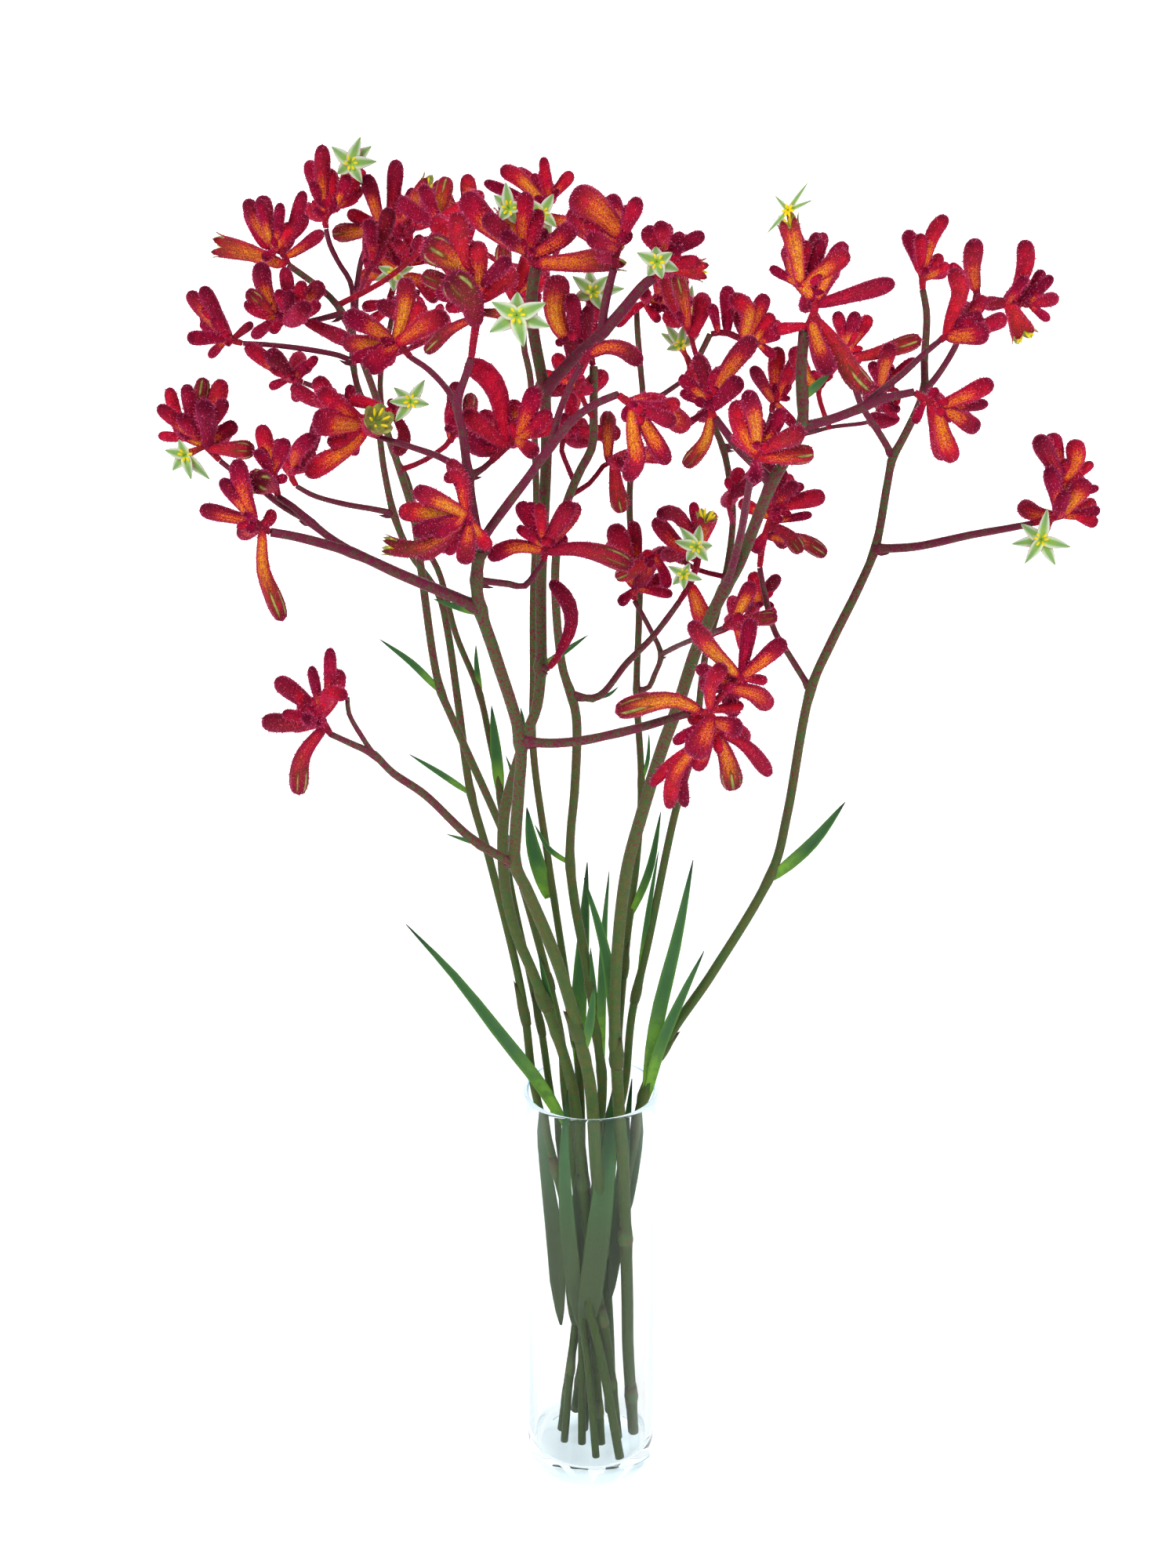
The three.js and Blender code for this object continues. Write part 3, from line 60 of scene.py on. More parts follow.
# Stems. "line" runs from the top of the stem down to the rim of the vase, "foot" goes on inside the vase
# as [x, y, z] in mm, and "width" is the diameter in mm at the top and at the foot. A branch runs from its
# stem to its tip, and a leaf from its tip to its root.
STEMS = {
  "stem_01": {
    "width": [3.0, 5.0],
    "line": [[452, 400, 62], [450, 462, 59], [462, 510, 56], [478, 530, 55], [490, 600, 51],
      [502, 655, 48], [520, 700, 46], [560, 760, 42], [570, 800, 39], [584, 895, 34], [600, 1009, 27],
      [625, 1099, 22], [666, 1270, 12], [681, 1385, 5]],
    "foot": [[-21, 0, 190], [-12, -5, 150], [-3, -10, 110], [6, -16, 70], [16, -22, 11]],
    "branches": [
      {"width": [3.0, 2.6], "line": [[452, 400, 62], [447, 360, 62], [432, 335, 61], [420, 310, 60],
        [416, 292, 60]]},
      {"width": [3.0, 2.6], "line": [[452, 400, 62], [460, 335, 66], [470, 310, 69], [479, 298, 70]]},
      {"width": [3.0, 2.6], "line": [[450, 462, 59], [437, 455, 58], [400, 447, 55], [345, 440, 52],
        [310, 438, 50]]},
      {"width": [3.0, 2.6], "line": [[462, 510, 56], [430, 505, 55], [400, 493, 55], [387, 488, 55]]},
      {"width": [3.4, 2.6], "line": [[502, 655, 48], [480, 650, 46], [440, 643, 44], [400, 632, 42],
        [378, 620, 40]]}],
    "leaves": [
      {"width": 3.6, "line": [[522, 962, 26], [560, 985, 26], [600, 1012, 27]]}]},
  "stem_02": {
    "width": [3.2, 5.0],
    "line": [[368, 338, 25], [405, 365, 23], [425, 383, 22], [437, 400, 21], [470, 480, 19],
      [490, 540, 18], [510, 600, 17], [528, 660, 16], [537, 725, 15], [560, 874, 13], [578, 919, 13],
      [635, 1046, 11], [657, 1100, 10], [715, 1320, 7], [720, 1385, 6]],
    "foot": [[-10, 3, 190], [-6, 0, 150], [2, -6, 70], [6, -10, 11]],
    "branches": [
      {"width": [3.0, 2.6], "line": [[437, 400, 21], [420, 404, 16], [404, 408, 13], [394, 410, 12]]}],
    "leaves": [
      {"width": 4.0, "line": [[484, 815, 12], [525, 845, 12], [562, 882, 13]]},
      {"width": 7.5, "line": [[518, 1179, -14], [578, 1242, -14], [640, 1320, -13], [694, 1389, -4],
        [724, 1442, 3]]}]},
  "stem_03": {
    "width": [3.0, 4.2],
    "line": [[500, 405, 82], [485, 490, 78], [500, 575, 72], [518, 608, 70], [540, 690, 64],
      [560, 730, 61], [582, 810, 56], [611, 882, 51], [625, 944, 47], [637, 1005, 42], [648, 1110, 35],
      [675, 1240, 26], [690, 1310, 21], [701, 1385, 16]],
    "foot": [[-17, 9, 190], [-12, 2, 150], [-2, -13, 70], [3, -21, 11]],
    "branches": [],
    "leaves": [
      {"width": 3.2, "line": [[607, 822, 52], [608, 850, 52], [613, 884, 51]]},
      {"width": 6.4, "line": [[627, 900, 44], [633, 960, 43], [638, 1012, 42]]},
      {"width": 2.6, "line": [[645, 963, 40], [653, 990, 40], [640, 1022, 41]]}]},
  "stem_04": {
    "width": [5.2, 7.0],
    "line": [[612, 700, -57], [608, 740, -55], [612, 775, -52], [632, 836, -49],
      [664, 945, -44], [662, 1005, -41], [658, 1060, -38], [657, 1103, -37], [672, 1135, -35],
      [713, 1233, -30], [741, 1331, -26], [753, 1385, -24]],
    "foot": [[3, -16, 190], [6, -7, 150], [8, 1, 110], [10, 9, 70], [12, 18, 11]],
    "branches": [
      {"width": [4.6, 3.2], "line": [[612, 700, -57], [618, 685, -58], [650, 640, -62], [670, 614, -66],
        [702, 570, -71], [730, 536, -76], [760, 515, -80], [788, 503, -84]]},
      {"width": [3.0, 2.6], "line": [[702, 570, -71], [712, 530, -72], [728, 490, -74], [741, 465, -75]]},
      {"width": [4.4, 3.2], "line": [[612, 700, -57], [602, 640, -59], [597, 605, -60], [590, 550, -63],
        [583, 515, -66], [594, 480, -69], [601, 457, -71]]},
      {"width": [3.0, 2.6], "line": [[583, 515, -66], [565, 490, -58], [545, 470, -52], [524, 456, -47]]},
      {"width": [3.4, 2.6], "line": [[597, 605, -60], [565, 585, -55], [530, 572, -48], [485, 558, -38]]},
      {"width": [3.4, 2.6], "line": [[597, 605, -60], [610, 602, -57], [625, 590, -52]]},
      {"width": [3.4, 2.6], "line": [[608, 740, -55], [650, 745, -51], [668, 748, -49],
        [685, 728, -45], [693, 716, -42]]},
      {"width": [3.8, 3.0], "line": [[612, 700, -57], [606, 690, -63], [601, 682, -70], [600, 674, -76]]},
      {"width": [5.4, 4.0], "line": [[612, 775, -52], [570, 757, -53], [510, 732, -55], [450, 705, -57],
        [400, 690, -60], [370, 683, -62], [346, 679, -64]]},
      {"width": [4.0, 3.0], "line": [[450, 705, -57], [420, 685, -54], [395, 665, -51],
        [372, 645, -48], [355, 634, -46]]},
      {"width": [3.4, 2.6], "line": [[395, 665, -51], [360, 645, -42], [330, 622, -34],
        [300, 603, -31], [281, 588, -30]]},
      {"width": [4.4, 2.8], "line": [[657, 1103, -37], [602, 1070, -43], [541, 1013, -50],
        [500, 985, -56], [476, 962, -60], [445, 947, -64], [421, 936, -68]]},
      {"width": [2.6, 2.2], "line": [[476, 962, -60], [465, 945, -61], [445, 910, -62], [443, 890, -62]]},
      {"width": [4.8, 3.6], "line": [[664, 945, -44], [700, 948, -48], [740, 945, -54], [780, 937, -60],
        [820, 927, -66], [860, 915, -72], [880, 909, -76]]}],
    "leaves": [
      {"width": 2.2, "line": [[570, 1064, -46], [590, 1070, -45], [612, 1077, -42]]},
      {"width": 2.4, "line": [[664, 902, -44], [667, 920, -44], [666, 944, -44]]},
      {"width": 3.2, "line": [[553, 764, -52], [580, 773, -52], [608, 782, -52]]},
      {"width": 5.0, "line": [[758, 1255, -31], [753, 1300, -29], [743, 1345, -26]]}]},
  "stem_05": {
    "width": [5.0, 6.4],
    "line": [[683, 342, -24], [678, 380, -23], [680, 420, -22], [694, 500, -21], [697, 560, -20],
      [690, 740, -18], [690, 850, -17], [685, 900, -16], [674, 931, -15],
      [655, 990, -14], [643, 1040, -13], [643, 1119, -12], [656, 1184, -11], [680, 1242, -10],
        [704, 1303, -10], [717, 1340, -9], [730, 1388, -9]],
    "foot": [[-5, -9, 190], [-2, -8, 150], [3, -7, 110], [9, -6, 70], [15, -5, 11]],
    "branches": [
      {"width": [5.6, 4.4], "line": [[694, 500, -21], [715, 475, -26], [740, 450, -31], [768, 425, -36],
        [795, 395, -40], [820, 365, -43], [834, 354, -44]]},
      {"width": [4.0, 3.4], "line": [[768, 425, -36], [770, 400, -38], [776, 370, -41], [783, 343, -44]]},
      {"width": [3.0, 2.6], "line": [[690, 850, -17], [699, 853, -22]]}],
    "leaves": [
      {"width": 3.4, "line": [[750, 810, -8], [724, 828, -11], [690, 850, -17]]},
      {"width": 4.2, "line": [[687, 1217, -6], [697, 1260, -7], [710, 1318, -9]]}]},
  "stem_06": {
    "width": [3.2, 4.4],
    "line": [[694, 287, 80], [686, 330, 80], [672, 390, 78], [668, 440, 76], [676, 480, 74],
      [684, 640, 66], [680, 766, 59], [680, 860, 54], [680, 956, 49], [700, 1103, 38],
      [721, 1241, 30], [731, 1310, 26], [740, 1385, 22]],
    "foot": [[-5, 16, 190], [-5, 9, 150], [-5, 2, 110], [-5, -10, 11]],
    "branches": [],
    "leaves": [
      {"width": 8.5, "line": [[672, 1030, 38], [680, 1080, 38], [700, 1145, 37]]},
      {"width": 8.5, "line": [[749, 1100, 22], [745, 1180, 24], [738, 1290, 25], [740, 1370, 23]]}]},
  "stem_07": {
    "width": [4.0, 5.4],
    "line": [[757, 467, 17], [757, 520, 17], [755, 570, 18], [740, 600, 18], [725, 635, 18],
      [715, 670, 18], [708, 730, 18], [717, 850, 18], [728, 885, 18], [735, 915, 18], [733, 1005, 17],
      [728, 1060, 16], [727, 1100, 16], [733, 1152, 15], [748, 1230, 14], [760, 1310, 13],
        [768, 1385, 13]],
    "foot": [[4, 10, 190], [1, 5, 110], [-1, 4, 70], [-4, 2, 11]],
    "branches": [
      {"width": [3.8, 3.0], "line": [[728, 885, 18], [760, 890, 18], [800, 845, 18], [830, 815, 17],
        [850, 790, 16], [866, 768, 14]]}],
    "leaves": [
      {"width": 2.2, "line": [[789, 876, 20], [776, 886, 19], [758, 890, 18]]},
      {"width": 3.0, "line": [[682, 1052, 18], [700, 1082, 17], [728, 1102, 16]]},
      {"width": 5.0, "line": [[777, 1111, 8], [771, 1180, 10], [767, 1290, 12], [767, 1370, 13]]},
      {"width": 4.0, "line": [[753, 1208, 11], [756, 1250, 12], [761, 1318, 13]]}]},
  "stem_08": {
    "width": [3.0, 4.4],
    "line": [[812, 392, 85], [813, 420, 84], [817, 470, 80], [820, 520, 76], [805, 600, 71],
      [805, 680, 66], [815, 720, 63], [815, 790, 59], [812, 880, 54], [818, 1000, 47],
      [812, 1100, 41], [803, 1170, 36], [790, 1310, 28], [786, 1385, 24]],
    "foot": [[7, 18, 190], [-5, 7, 110], [-10, 0, 70], [-15, -8, 11]],
    "branches": [
      {"width": [3.0, 2.6], "line": [[820, 520, 76], [850, 500, 72], [879, 480, 68]]},
      {"width": [3.2, 2.6], "line": [[812, 880, 54], [826, 878, 53], [835, 860, 52], [843, 835, 50],
        [828, 800, 51], [809, 766, 52]]},
      {"width": [3.0, 2.6], "line": [[843, 835, 50], [860, 826, 38], [878, 818, 24], [905, 808, 12],
        [923, 801, 4]]}],
    "leaves": [
      {"width": 4.6, "line": [[843, 1035, 34], [828, 1110, 35], [804, 1168, 36]]},
      {"width": 2.4, "line": [[828, 935, 49], [826, 970, 48], [817, 1000, 47]]}]},
  "stem_09": {
    "width": [4.6, 6.8],
    "line": [[1026, 422, -70], [1022, 475, -68], [1023, 545, -66], [1000, 590, -63], [985, 615, -61],
      [955, 690, -55], [940, 725, -52], [925, 750, -49], [905, 790, -46], [888, 829, -42],
      [865, 900, -38], [847, 948, -35], [819, 1038, -31], [798, 1119, -27], [784, 1287, -19],
      [788, 1385, -16]],
    "foot": [[17, -14, 190], [20, -9, 110], [21, -5, 70], [25, 0, 11]],
    "branches": [
      {"width": [4.0, 3.0], "line": [[925, 750, -49], [932, 730, -54], [945, 680, -64],
        [952, 640, -74], [958, 606, -82]]},
      {"width": [4.4, 3.4], "line": [[985, 615, -61], [960, 590, -57], [940, 570, -53],
        [925, 550, -50], [913, 534, -48]]},
      {"width": [4.4, 3.4], "line": [[1023, 545, -66], [1060, 535, -66], [1100, 520, -66],
        [1130, 508, -66], [1166, 500, -66]]},
      {"width": [3.2, 2.6], "line": [[1100, 520, -66], [1118, 503, -64], [1150, 478, -59],
        [1180, 450, -55], [1198, 435, -52]]}],
    "leaves": [
      {"width": 4.0, "line": [[1060, 475, -66], [1045, 488, -67], [1023, 508, -67]]},
      {"width": 6.2, "line": [[745, 1120, -12], [774, 1221, -16], [787, 1335, -18]]}]},
  "stem_10": {
    "width": [3.0, 4.8],
    "line": [[906, 426, 50], [890, 465, 50], [900, 520, 49], [922, 570, 48], [933, 630, 47],
      [935, 660, 46], [930, 710, 44], [915, 780, 42], [900, 835, 40], [885, 950, 35], [860, 1042, 32],
      [827, 1201, 25], [806, 1295, 21], [797, 1385, 18]],
    "foot": [[12, 16, 190], [6, 13, 150], [-1, 11, 110], [-9, 6, 70], [-17, 2, 11]],
    "branches": [
      {"width": [3.0, 2.6], "line": [[922, 570, 48], [945, 568, 53], [965, 560, 57], [978, 545, 59],
        [984, 527, 60]]},
      {"width": [2.4, 2.0], "line": [[965, 560, 57], [1000, 556, 56], [1030, 553, 54],
        [1060, 545, 52], [1110, 538, 48], [1134, 527, 46]]}],
    "leaves": [
      {"width": 3.4, "line": [[840, 1085, 27], [829, 1150, 26], [814, 1255, 23]]}]},
  "stem_11": {
    "width": [3.4, 6.0],
    "line": [[1177, 370, 27], [1182, 400, 24], [1179, 460, 17], [1178, 500, 13], [1146, 570, 9],
      [1139, 582, 9], [1132, 616, 8], [1116, 700, 6], [1094, 752, 5], [1060, 820, 5], [1034, 880, 4],
      [1004, 1039, 3], [986, 1109, 2], [908, 1242, 0], [852, 1324, -1], [824, 1388, -2]],
    "foot": [[22, 2, 190], [15, 6, 150], [7, 10, 110], [-1, 14, 70], [-9, 19, 11]],
    "branches": [
      {"width": [3.4, 2.8], "line": [[1139, 582, 9], [1125, 558, 9], [1098, 515, 7], [1090, 490, 6],
        [1087, 471, 5]]},
      {"width": [3.4, 2.6], "line": [[1178, 500, 13], [1195, 480, 9], [1218, 443, 4],
        [1235, 402, 1], [1244, 387, 0]]},
      {"width": [2.8, 2.4], "line": [[1235, 402, 1], [1248, 393, -4], [1256, 389, -7]]},
      {"width": [4.6, 3.2], "line": [[1116, 700, 6], [1168, 697, -3], [1239, 682, -12],
        [1284, 674, -17], [1316, 668, -20]]},
      {"width": [3.4, 2.8], "line": [[1034, 880, 4], [1008, 838, 10], [988, 805, 14],
        [975, 756, 18], [969, 724, 20]]}],
    "leaves": [
      {"width": 7.0, "line": [[1078, 1023, -2], [1035, 1075, 0], [984, 1120, 2]]},
      {"width": 8.0, "line": [[884, 1097, -6], [864, 1193, -5], [838, 1300, -4], [824, 1396, -3]]},
      {"width": 6.4, "line": [[898, 1213, -10], [872, 1266, -9], [840, 1340, -6], [825, 1400, -3]]}]},
}

# Heads. "depth" is that of the head, "rachis" holds the short axes that the flowers grow from, and each
# flower is [form, width, tip, points between, root, lean]; a star is [form, lobe width, middle, root, tips,
# lean]. A lean is given only where it differs from the rule. "late" flowers are built after the young buds.
HEADS = {
  "head_01": {"depth": 60, "rachis": [[[416, 292], [415, 278], [428, 262]]], "flowers": [
    ["bud", 19, [411, 184], [414, 270]],
    ["bud", 20, [394, 206], [412, 256]],
    ["bud", 12, [398, 232], [410, 260]],
    ["bud", 18, [460, 240], [427, 266]],
    ["bud", 14, [465, 217], [430, 262], 12],
    ["star", 15, [447, 208], [425, 262], [[460, 174], [423, 187], [481, 206], [430, 222],
      [462, 234], [474, 186]]]]},
  "head_02": {"depth": 25, "rachis": [[[368, 338], [360, 322], [346, 313]]], "flowers": [
    ["bud", 15, [331, 254], [347, 312]],
    ["bud", 14, [314, 267], [338, 314]],
    ["bud", 14, [358, 259], [352, 308]],
    ["bud", 15, [388, 243], [367, 305], [358, 318]],
    ["open", 25, [272, 312], [318, 322], [360, 336]],
    ["bud", 16, [412, 296], [375, 322]],
    ["bud", 12, [336, 330], [352, 320], -8]]},
  "head_03": {"depth": 70, "rachis": [[[479, 298], [486, 288], [508, 280], [530, 290]]], "flowers": [
    ["bud", 19, [467, 222], [480, 268], [484, 288]],
    ["bud", 20, [506, 203], [500, 265], [496, 284]],
    ["open", 27, [555, 232], [520, 268], [504, 282]],
    ["bud", 15, [567, 254], [524, 286]],
    ["bud", 17, [581, 267], [532, 290]],
    ["slit", 23, [426, 298], [480, 290]],
    ["bud", 16, [444, 272], [486, 288], 12]]},
  "head_04": {"depth": 12, "rachis": [[[394, 410], [372, 408], [352, 404]]], "flowers": [
    ["bud", 22, [334, 336], [335, 360], [350, 400]],
    ["bud", 17, [363, 341], [374, 404]],
    ["slit", 18, [316, 372], [350, 403]],
    ["bud", 14, [355, 370], [368, 404], -10],
    ["dark", 20, [384, 362], [386, 404], 8],
    ["bud", 14, [322, 430], [354, 408]],
    ["bud", 20, [448, 436], [390, 414], -8],
    ["bud", 12, [346, 424], [362, 408], -8]]},
  "head_05": {"depth": 50, "rachis": [[[310, 438], [296, 434], [288, 430]]], "flowers": [
    ["bud", 18, [258, 365], [294, 428]],
    ["bud", 15, [257, 403], [290, 431]],
    ["bud", 17, [239, 431], [290, 433]],
    ["bud", 12, [267, 455], [289, 434]],
    ["dark", 12, [322, 412], [296, 432], -6]]},
  "head_06": {"depth": 82, "rachis": [[[500, 405], [497, 385], [508, 352], [522, 332]]], "flowers": [
    ["bud", 14, [502, 303], [518, 336]],
    ["bud", 12, [520, 292], [523, 334], 8],
    ["bud", 12, [537, 300], [525, 334]],
    ["bud", 20, [458, 372], [470, 350], [506, 356]],
    ["bud", 20, [558, 385], [535, 358], [508, 354], -8],
    ["star", 12, [502, 348], [505, 362], [[482, 340], [528, 341], [478, 358], [502, 372], [520, 364]]],
    ["bud", 14, [462, 392], [498, 386]],
    ["bud", 14, [470, 412], [500, 392], -6],
    ["bud", 12, [535, 372], [500, 390]]]},
  "head_07": {"depth": -47, "rachis": [[[524, 456], [510, 440], [496, 434]]], "flowers": [
    ["bud", 26, [440, 402], [470, 415], [500, 436]],
    ["bud", 22, [438, 440], [498, 437], 8],
    ["bud", 25, [570, 402], [540, 416], [508, 438]],
    ["bud", 14, [448, 460], [500, 442], -8],
    ["bud", 18, [464, 466], [505, 444], -12]]},
  "head_08": {"depth": -71, "rachis": [[[601, 457], [606, 420], [612, 380], [606, 345]]], "flowers": [
    ["slit", 38, [541, 310], [572, 328], [606, 348], -8],
    ["slit", 38, [572, 352], [600, 385], [610, 416], -12],
    ["bud", 23, [583, 270], [592, 335], [606, 350]],
    ["bud", 25, [609, 307], [614, 376], -4],
    ["bud", 18, [650, 330], [612, 366]],
    ["bud", 26, [657, 345], [614, 384], 10],
    ["slit", 22, [538, 350], [580, 368], [610, 384], 9],
    ["slit", 18, [542, 450], [575, 420], [606, 404], 10],
    ["star", 20, [659, 402], [611, 398], [[627, 385], [624, 424], [668, 443], [702, 417],
      [697, 386], [660, 372]]]]},
  "head_09": {"depth": -24, "rachis": [[[683, 342], [676, 328], [664, 318]]], "flowers": [
    ["bud", 30, [592, 246], [612, 275], [664, 320]],
    ["bud", 22, [618, 275], [662, 322], -10],
    ["bud", 18, [642, 298], [668, 325], -12],
    ["bud", 20, [684, 270], [677, 326], 8],
    ["cup", 34, [650, 258], [664, 318], 4],
    ["star", 15, [649, 265], [664, 318], [[645, 232], [630, 249], [636, 282], [659, 286], [669, 262]], -6],
    ["open", 30, [798, 326], [740, 334], [682, 336], -3]]},
  "head_10": {"depth": 80, "rachis": [[[694, 287], [697, 262], [702, 252]]], "flowers": [
    ["bud", 20, [638, 215], [660, 226], [696, 262]],
    ["bud", 14, [617, 232], [692, 266], 8],
    ["bud", 13, [693, 200], [698, 256]],
    ["bud", 15, [730, 220], [702, 256]],
    ["open", 22, [752, 290], [720, 284], [696, 276], -6]],
    "late": [["star", 14, [692, 272], [699, 258], [[667, 252], [706, 247], [710, 290], [703, 303],
      [674, 288]]]]},
  "head_11": {"depth": -44, "rachis": [[[783, 343], [787, 318], [796, 298]]], "flowers": [
    ["bud", 38, [728, 248], [755, 262], [794, 302], -4],
    ["bud", 20, [779, 248], [795, 302], 8],
    ["bud", 14, [802, 262], [796, 302], -9],
    ["bud", 20, [750, 303], [772, 312], [788, 318], -10],
    ["dark", 16, [815, 262], [800, 300], 10]]},
  "head_12": {"depth": -44, "rachis": [[[834, 354], [842, 340], [848, 320]]], "flowers": [
    ["bud", 20, [843, 285], [848, 322]],
    ["bud", 18, [872, 300], [850, 325], 8],
    ["bud", 12, [870, 316], [848, 328], -6],
    ["bud", 22, [824, 292], [844, 326], -10],
    ["star", 16, [838, 334], [844, 338], [[812, 322], [826, 352], [845, 356], [866, 345],
      [858, 322], [836, 314]]],
    ["open", 24, [900, 345], [872, 342], [846, 338], 4]]},
  "head_13": {"depth": 17, "rachis": [[[757, 467], [750, 445], [738, 434], [720, 434]]], "flowers": [
    ["bud", 30, [713, 350], [708, 400], [722, 436]],
    ["bud", 20, [728, 375], [738, 436], -9],
    ["dark", 16, [750, 390], [748, 442], -8],
    ["star", 16, [756, 372], [750, 440], [[730, 352], [750, 342], [775, 352], [730, 382],
      [768, 396], [797, 368]], 4]]},
  "head_14": {"depth": 85, "rachis": [[[812, 392], [826, 384], [850, 380]]], "flowers": [
    ["bud", 18, [877, 356], [832, 384]],
    ["bud", 14, [874, 392], [840, 384], -6],
    ["bud", 12, [841, 410], [822, 388]],
    ["bud", 14, [786, 416], [803, 398], [824, 385], -10],
    ["star", 12, [878, 393], [848, 382], [[883, 363], [901, 379], [888, 423], [864, 421],
      [860, 372]], 6]]},
  "head_15": {"depth": 68, "rachis": [[[879, 480], [880, 466], [876, 456]]], "flowers": [
    ["star", 12, [868, 440], [877, 460], [[848, 411], [843, 425], [873, 412], [893, 426],
      [850, 446]]]]},
  "head_16": {"depth": 50, "rachis": [[[906, 426], [925, 424], [950, 434], [972, 436]]], "flowers": [
    ["bud", 13, [908, 388], [916, 422]],
    ["bud", 20, [928, 365], [928, 424]],
    ["bud", 22, [932, 378], [954, 396], [948, 430], -8],
    ["bud", 16, [974, 405], [955, 434], 6],
    ["bud", 15, [995, 425], [968, 436], -4],
    ["bud", 12, [988, 455], [964, 436], 6]]},
  "head_17": {"depth": -48, "rachis": [[[913, 534], [904, 520], [906, 506]]], "flowers": [
    ["bud", 26, [964, 430], [935, 462], [908, 510]],
    ["bud", 20, [893, 455], [890, 500], [904, 516]],
    ["bud", 22, [945, 483], [908, 522], -10],
    ["bud", 14, [868, 500], [902, 516], 8],
    ["slit", 20, [873, 596], [900, 562], [906, 526], 6],
    ["dark", 10, [870, 545], [902, 524], -6]]},
  "head_18": {"depth": 60, "rachis": [[[984, 527], [987, 514], [994, 508]]], "flowers": [
    ["bud", 16, [960, 468], [986, 514]],
    ["bud", 16, [987, 455], [988, 512], 8],
    ["bud", 16, [1012, 462], [992, 512], -6],
    ["bud", 13, [1014, 544], [990, 514], -8]]},
  "head_19": {"depth": -82, "rachis": [[[958, 606], [966, 586], [966, 572]]], "flowers": [
    ["bud", 24, [953, 499], [962, 530], [966, 576]],
    ["bud", 20, [935, 530], [962, 580], 8],
    ["bud", 23, [1027, 548], [968, 576], -5],
    ["slit", 24, [1038, 578], [1005, 582], [968, 584], 6],
    ["bud", 18, [962, 612], [966, 588], -12]]},
  "head_20": {"depth": -70, "rachis": [[[1026, 422], [1036, 405], [1040, 385],
    [1018, 362]]], "flowers": [
    ["open", 24, [1003, 275], [1015, 322], [1021, 364], -6],
    ["bud", 22, [1079, 310], [1062, 335], [1038, 388], 8],
    ["bud", 21, [1142, 360], [1090, 375], [1042, 390], -5],
    ["bud", 15, [986, 421], [1028, 414], -6],
    ["bud", 22, [1058, 478], [1044, 440], [1034, 408], -12],
    ["slit", 26, [1111, 500], [1088, 478], [1066, 440], [1038, 404], 6],
    ["bud", 15, [1000, 316], [1016, 362], 10],
    ["bud", 16, [1048, 305], [1028, 370], 12],
    ["bud", 12, [982, 341], [1018, 366], 8]],
    "late": [["star", 6, [1005, 268], [1021, 364], [[988, 249], [1031, 232], [1037, 255], [978, 298]], -8]]},
  "head_21": {"depth": 5, "rachis": [[[1087, 471], [1082, 450], [1078, 438]], [[1084, 460],
    [1105, 488], [1142, 497]]],
    "flowers": [
    ["bud", 15, [1067, 398], [1078, 440]],
    ["bud", 16, [1092, 398], [1080, 440], -8],
    ["bud", 18, [1110, 403], [1082, 446], 6],
    ["slit", 22, [1176, 432], [1120, 450], [1084, 458], -4],
    ["bud", 14, [1112, 462], [1122, 494], -6],
    ["bud", 12, [1135, 464], [1138, 496]]]},
  "head_22": {"depth": -66, "rachis": [[[1166, 500], [1184, 512], [1204, 522]]], "flowers": [
    ["bud", 22, [1267, 487], [1230, 505], [1198, 517]],
    ["bud", 15, [1260, 515], [1202, 521], 8],
    ["bud", 23, [1249, 548], [1205, 523], -8],
    ["bud", 24, [1203, 587], [1195, 545], [1186, 514], 5],
    ["bud", 12, [1166, 540], [1180, 510], -6]]},
  "head_23": {"depth": -52, "rachis": [[[1198, 435], [1208, 428], [1224, 424]]], "flowers": [
    ["bud", 20, [1256, 378], [1222, 425], 8],
    ["bud", 26, [1262, 424], [1206, 430], -6],
    ["bud", 18, [1284, 408], [1224, 424], 5],
    ["bud", 22, [1214, 342], [1225, 370], [1216, 398], [1206, 430], -4]]},
  "head_24": {"depth": 27, "rachis": [[[1177, 370], [1176, 352], [1174, 344]]], "flowers": [
    ["bud", 20, [1208, 275], [1192, 295], [1176, 348]],
    ["bud", 15, [1174, 298], [1174, 348], -8],
    ["bud", 15, [1210, 338], [1177, 356], 8]]},
  "head_25": {"depth": 0, "rachis": [[[1244, 387], [1246, 374], [1244, 366]]], "flowers": [
    ["bud", 24, [1244, 305], [1240, 340], [1245, 372]],
    ["bud", 12, [1212, 336], [1243, 372], 8]]},
  "head_26": {"depth": -7, "rachis": [[[1256, 389], [1284, 386], [1312, 388]]], "flowers": [
    ["bud", 22, [1307, 306], [1308, 335], [1292, 386]],
    ["bud", 16, [1330, 345], [1308, 387], 8],
    ["bud", 14, [1342, 352], [1310, 388], -8],
    ["bud", 17, [1348, 380], [1312, 388]],
    ["bud", 12, [1338, 408], [1312, 390], 6],
    ["open", 28, [1308, 432], [1298, 410], [1286, 387], -6]]},
  "head_27": {"depth": -20, "rachis": [[[1316, 668], [1345, 660], [1368, 654]], [[1348, 662],
    [1352, 632], [1354, 606]]],
    "flowers": [
    ["bud", 24, [1323, 556], [1338, 584], [1354, 610], -5],
    ["bud", 20, [1338, 596], [1346, 628], [1350, 652], -12],
    ["bud", 23, [1370, 560], [1372, 588], [1356, 616], 6],
    ["bud", 13, [1394, 590], [1356, 620], 8],
    ["bud", 12, [1402, 622], [1354, 632], -6],
    ["bud", 24, [1388, 612], [1352, 656], -4],
    ["bud", 19, [1396, 642], [1366, 655], 8],
    ["bud", 15, [1400, 668], [1366, 656], -8],
    ["star", 15, [1328, 688], [1342, 662], [[1336, 648], [1290, 694], [1307, 719], [1346, 721],
      [1366, 698], [1302, 668]]]]},
  "head_28": {"depth": -30, "rachis": [[[281, 588], [264, 570], [246, 556]]], "flowers": [
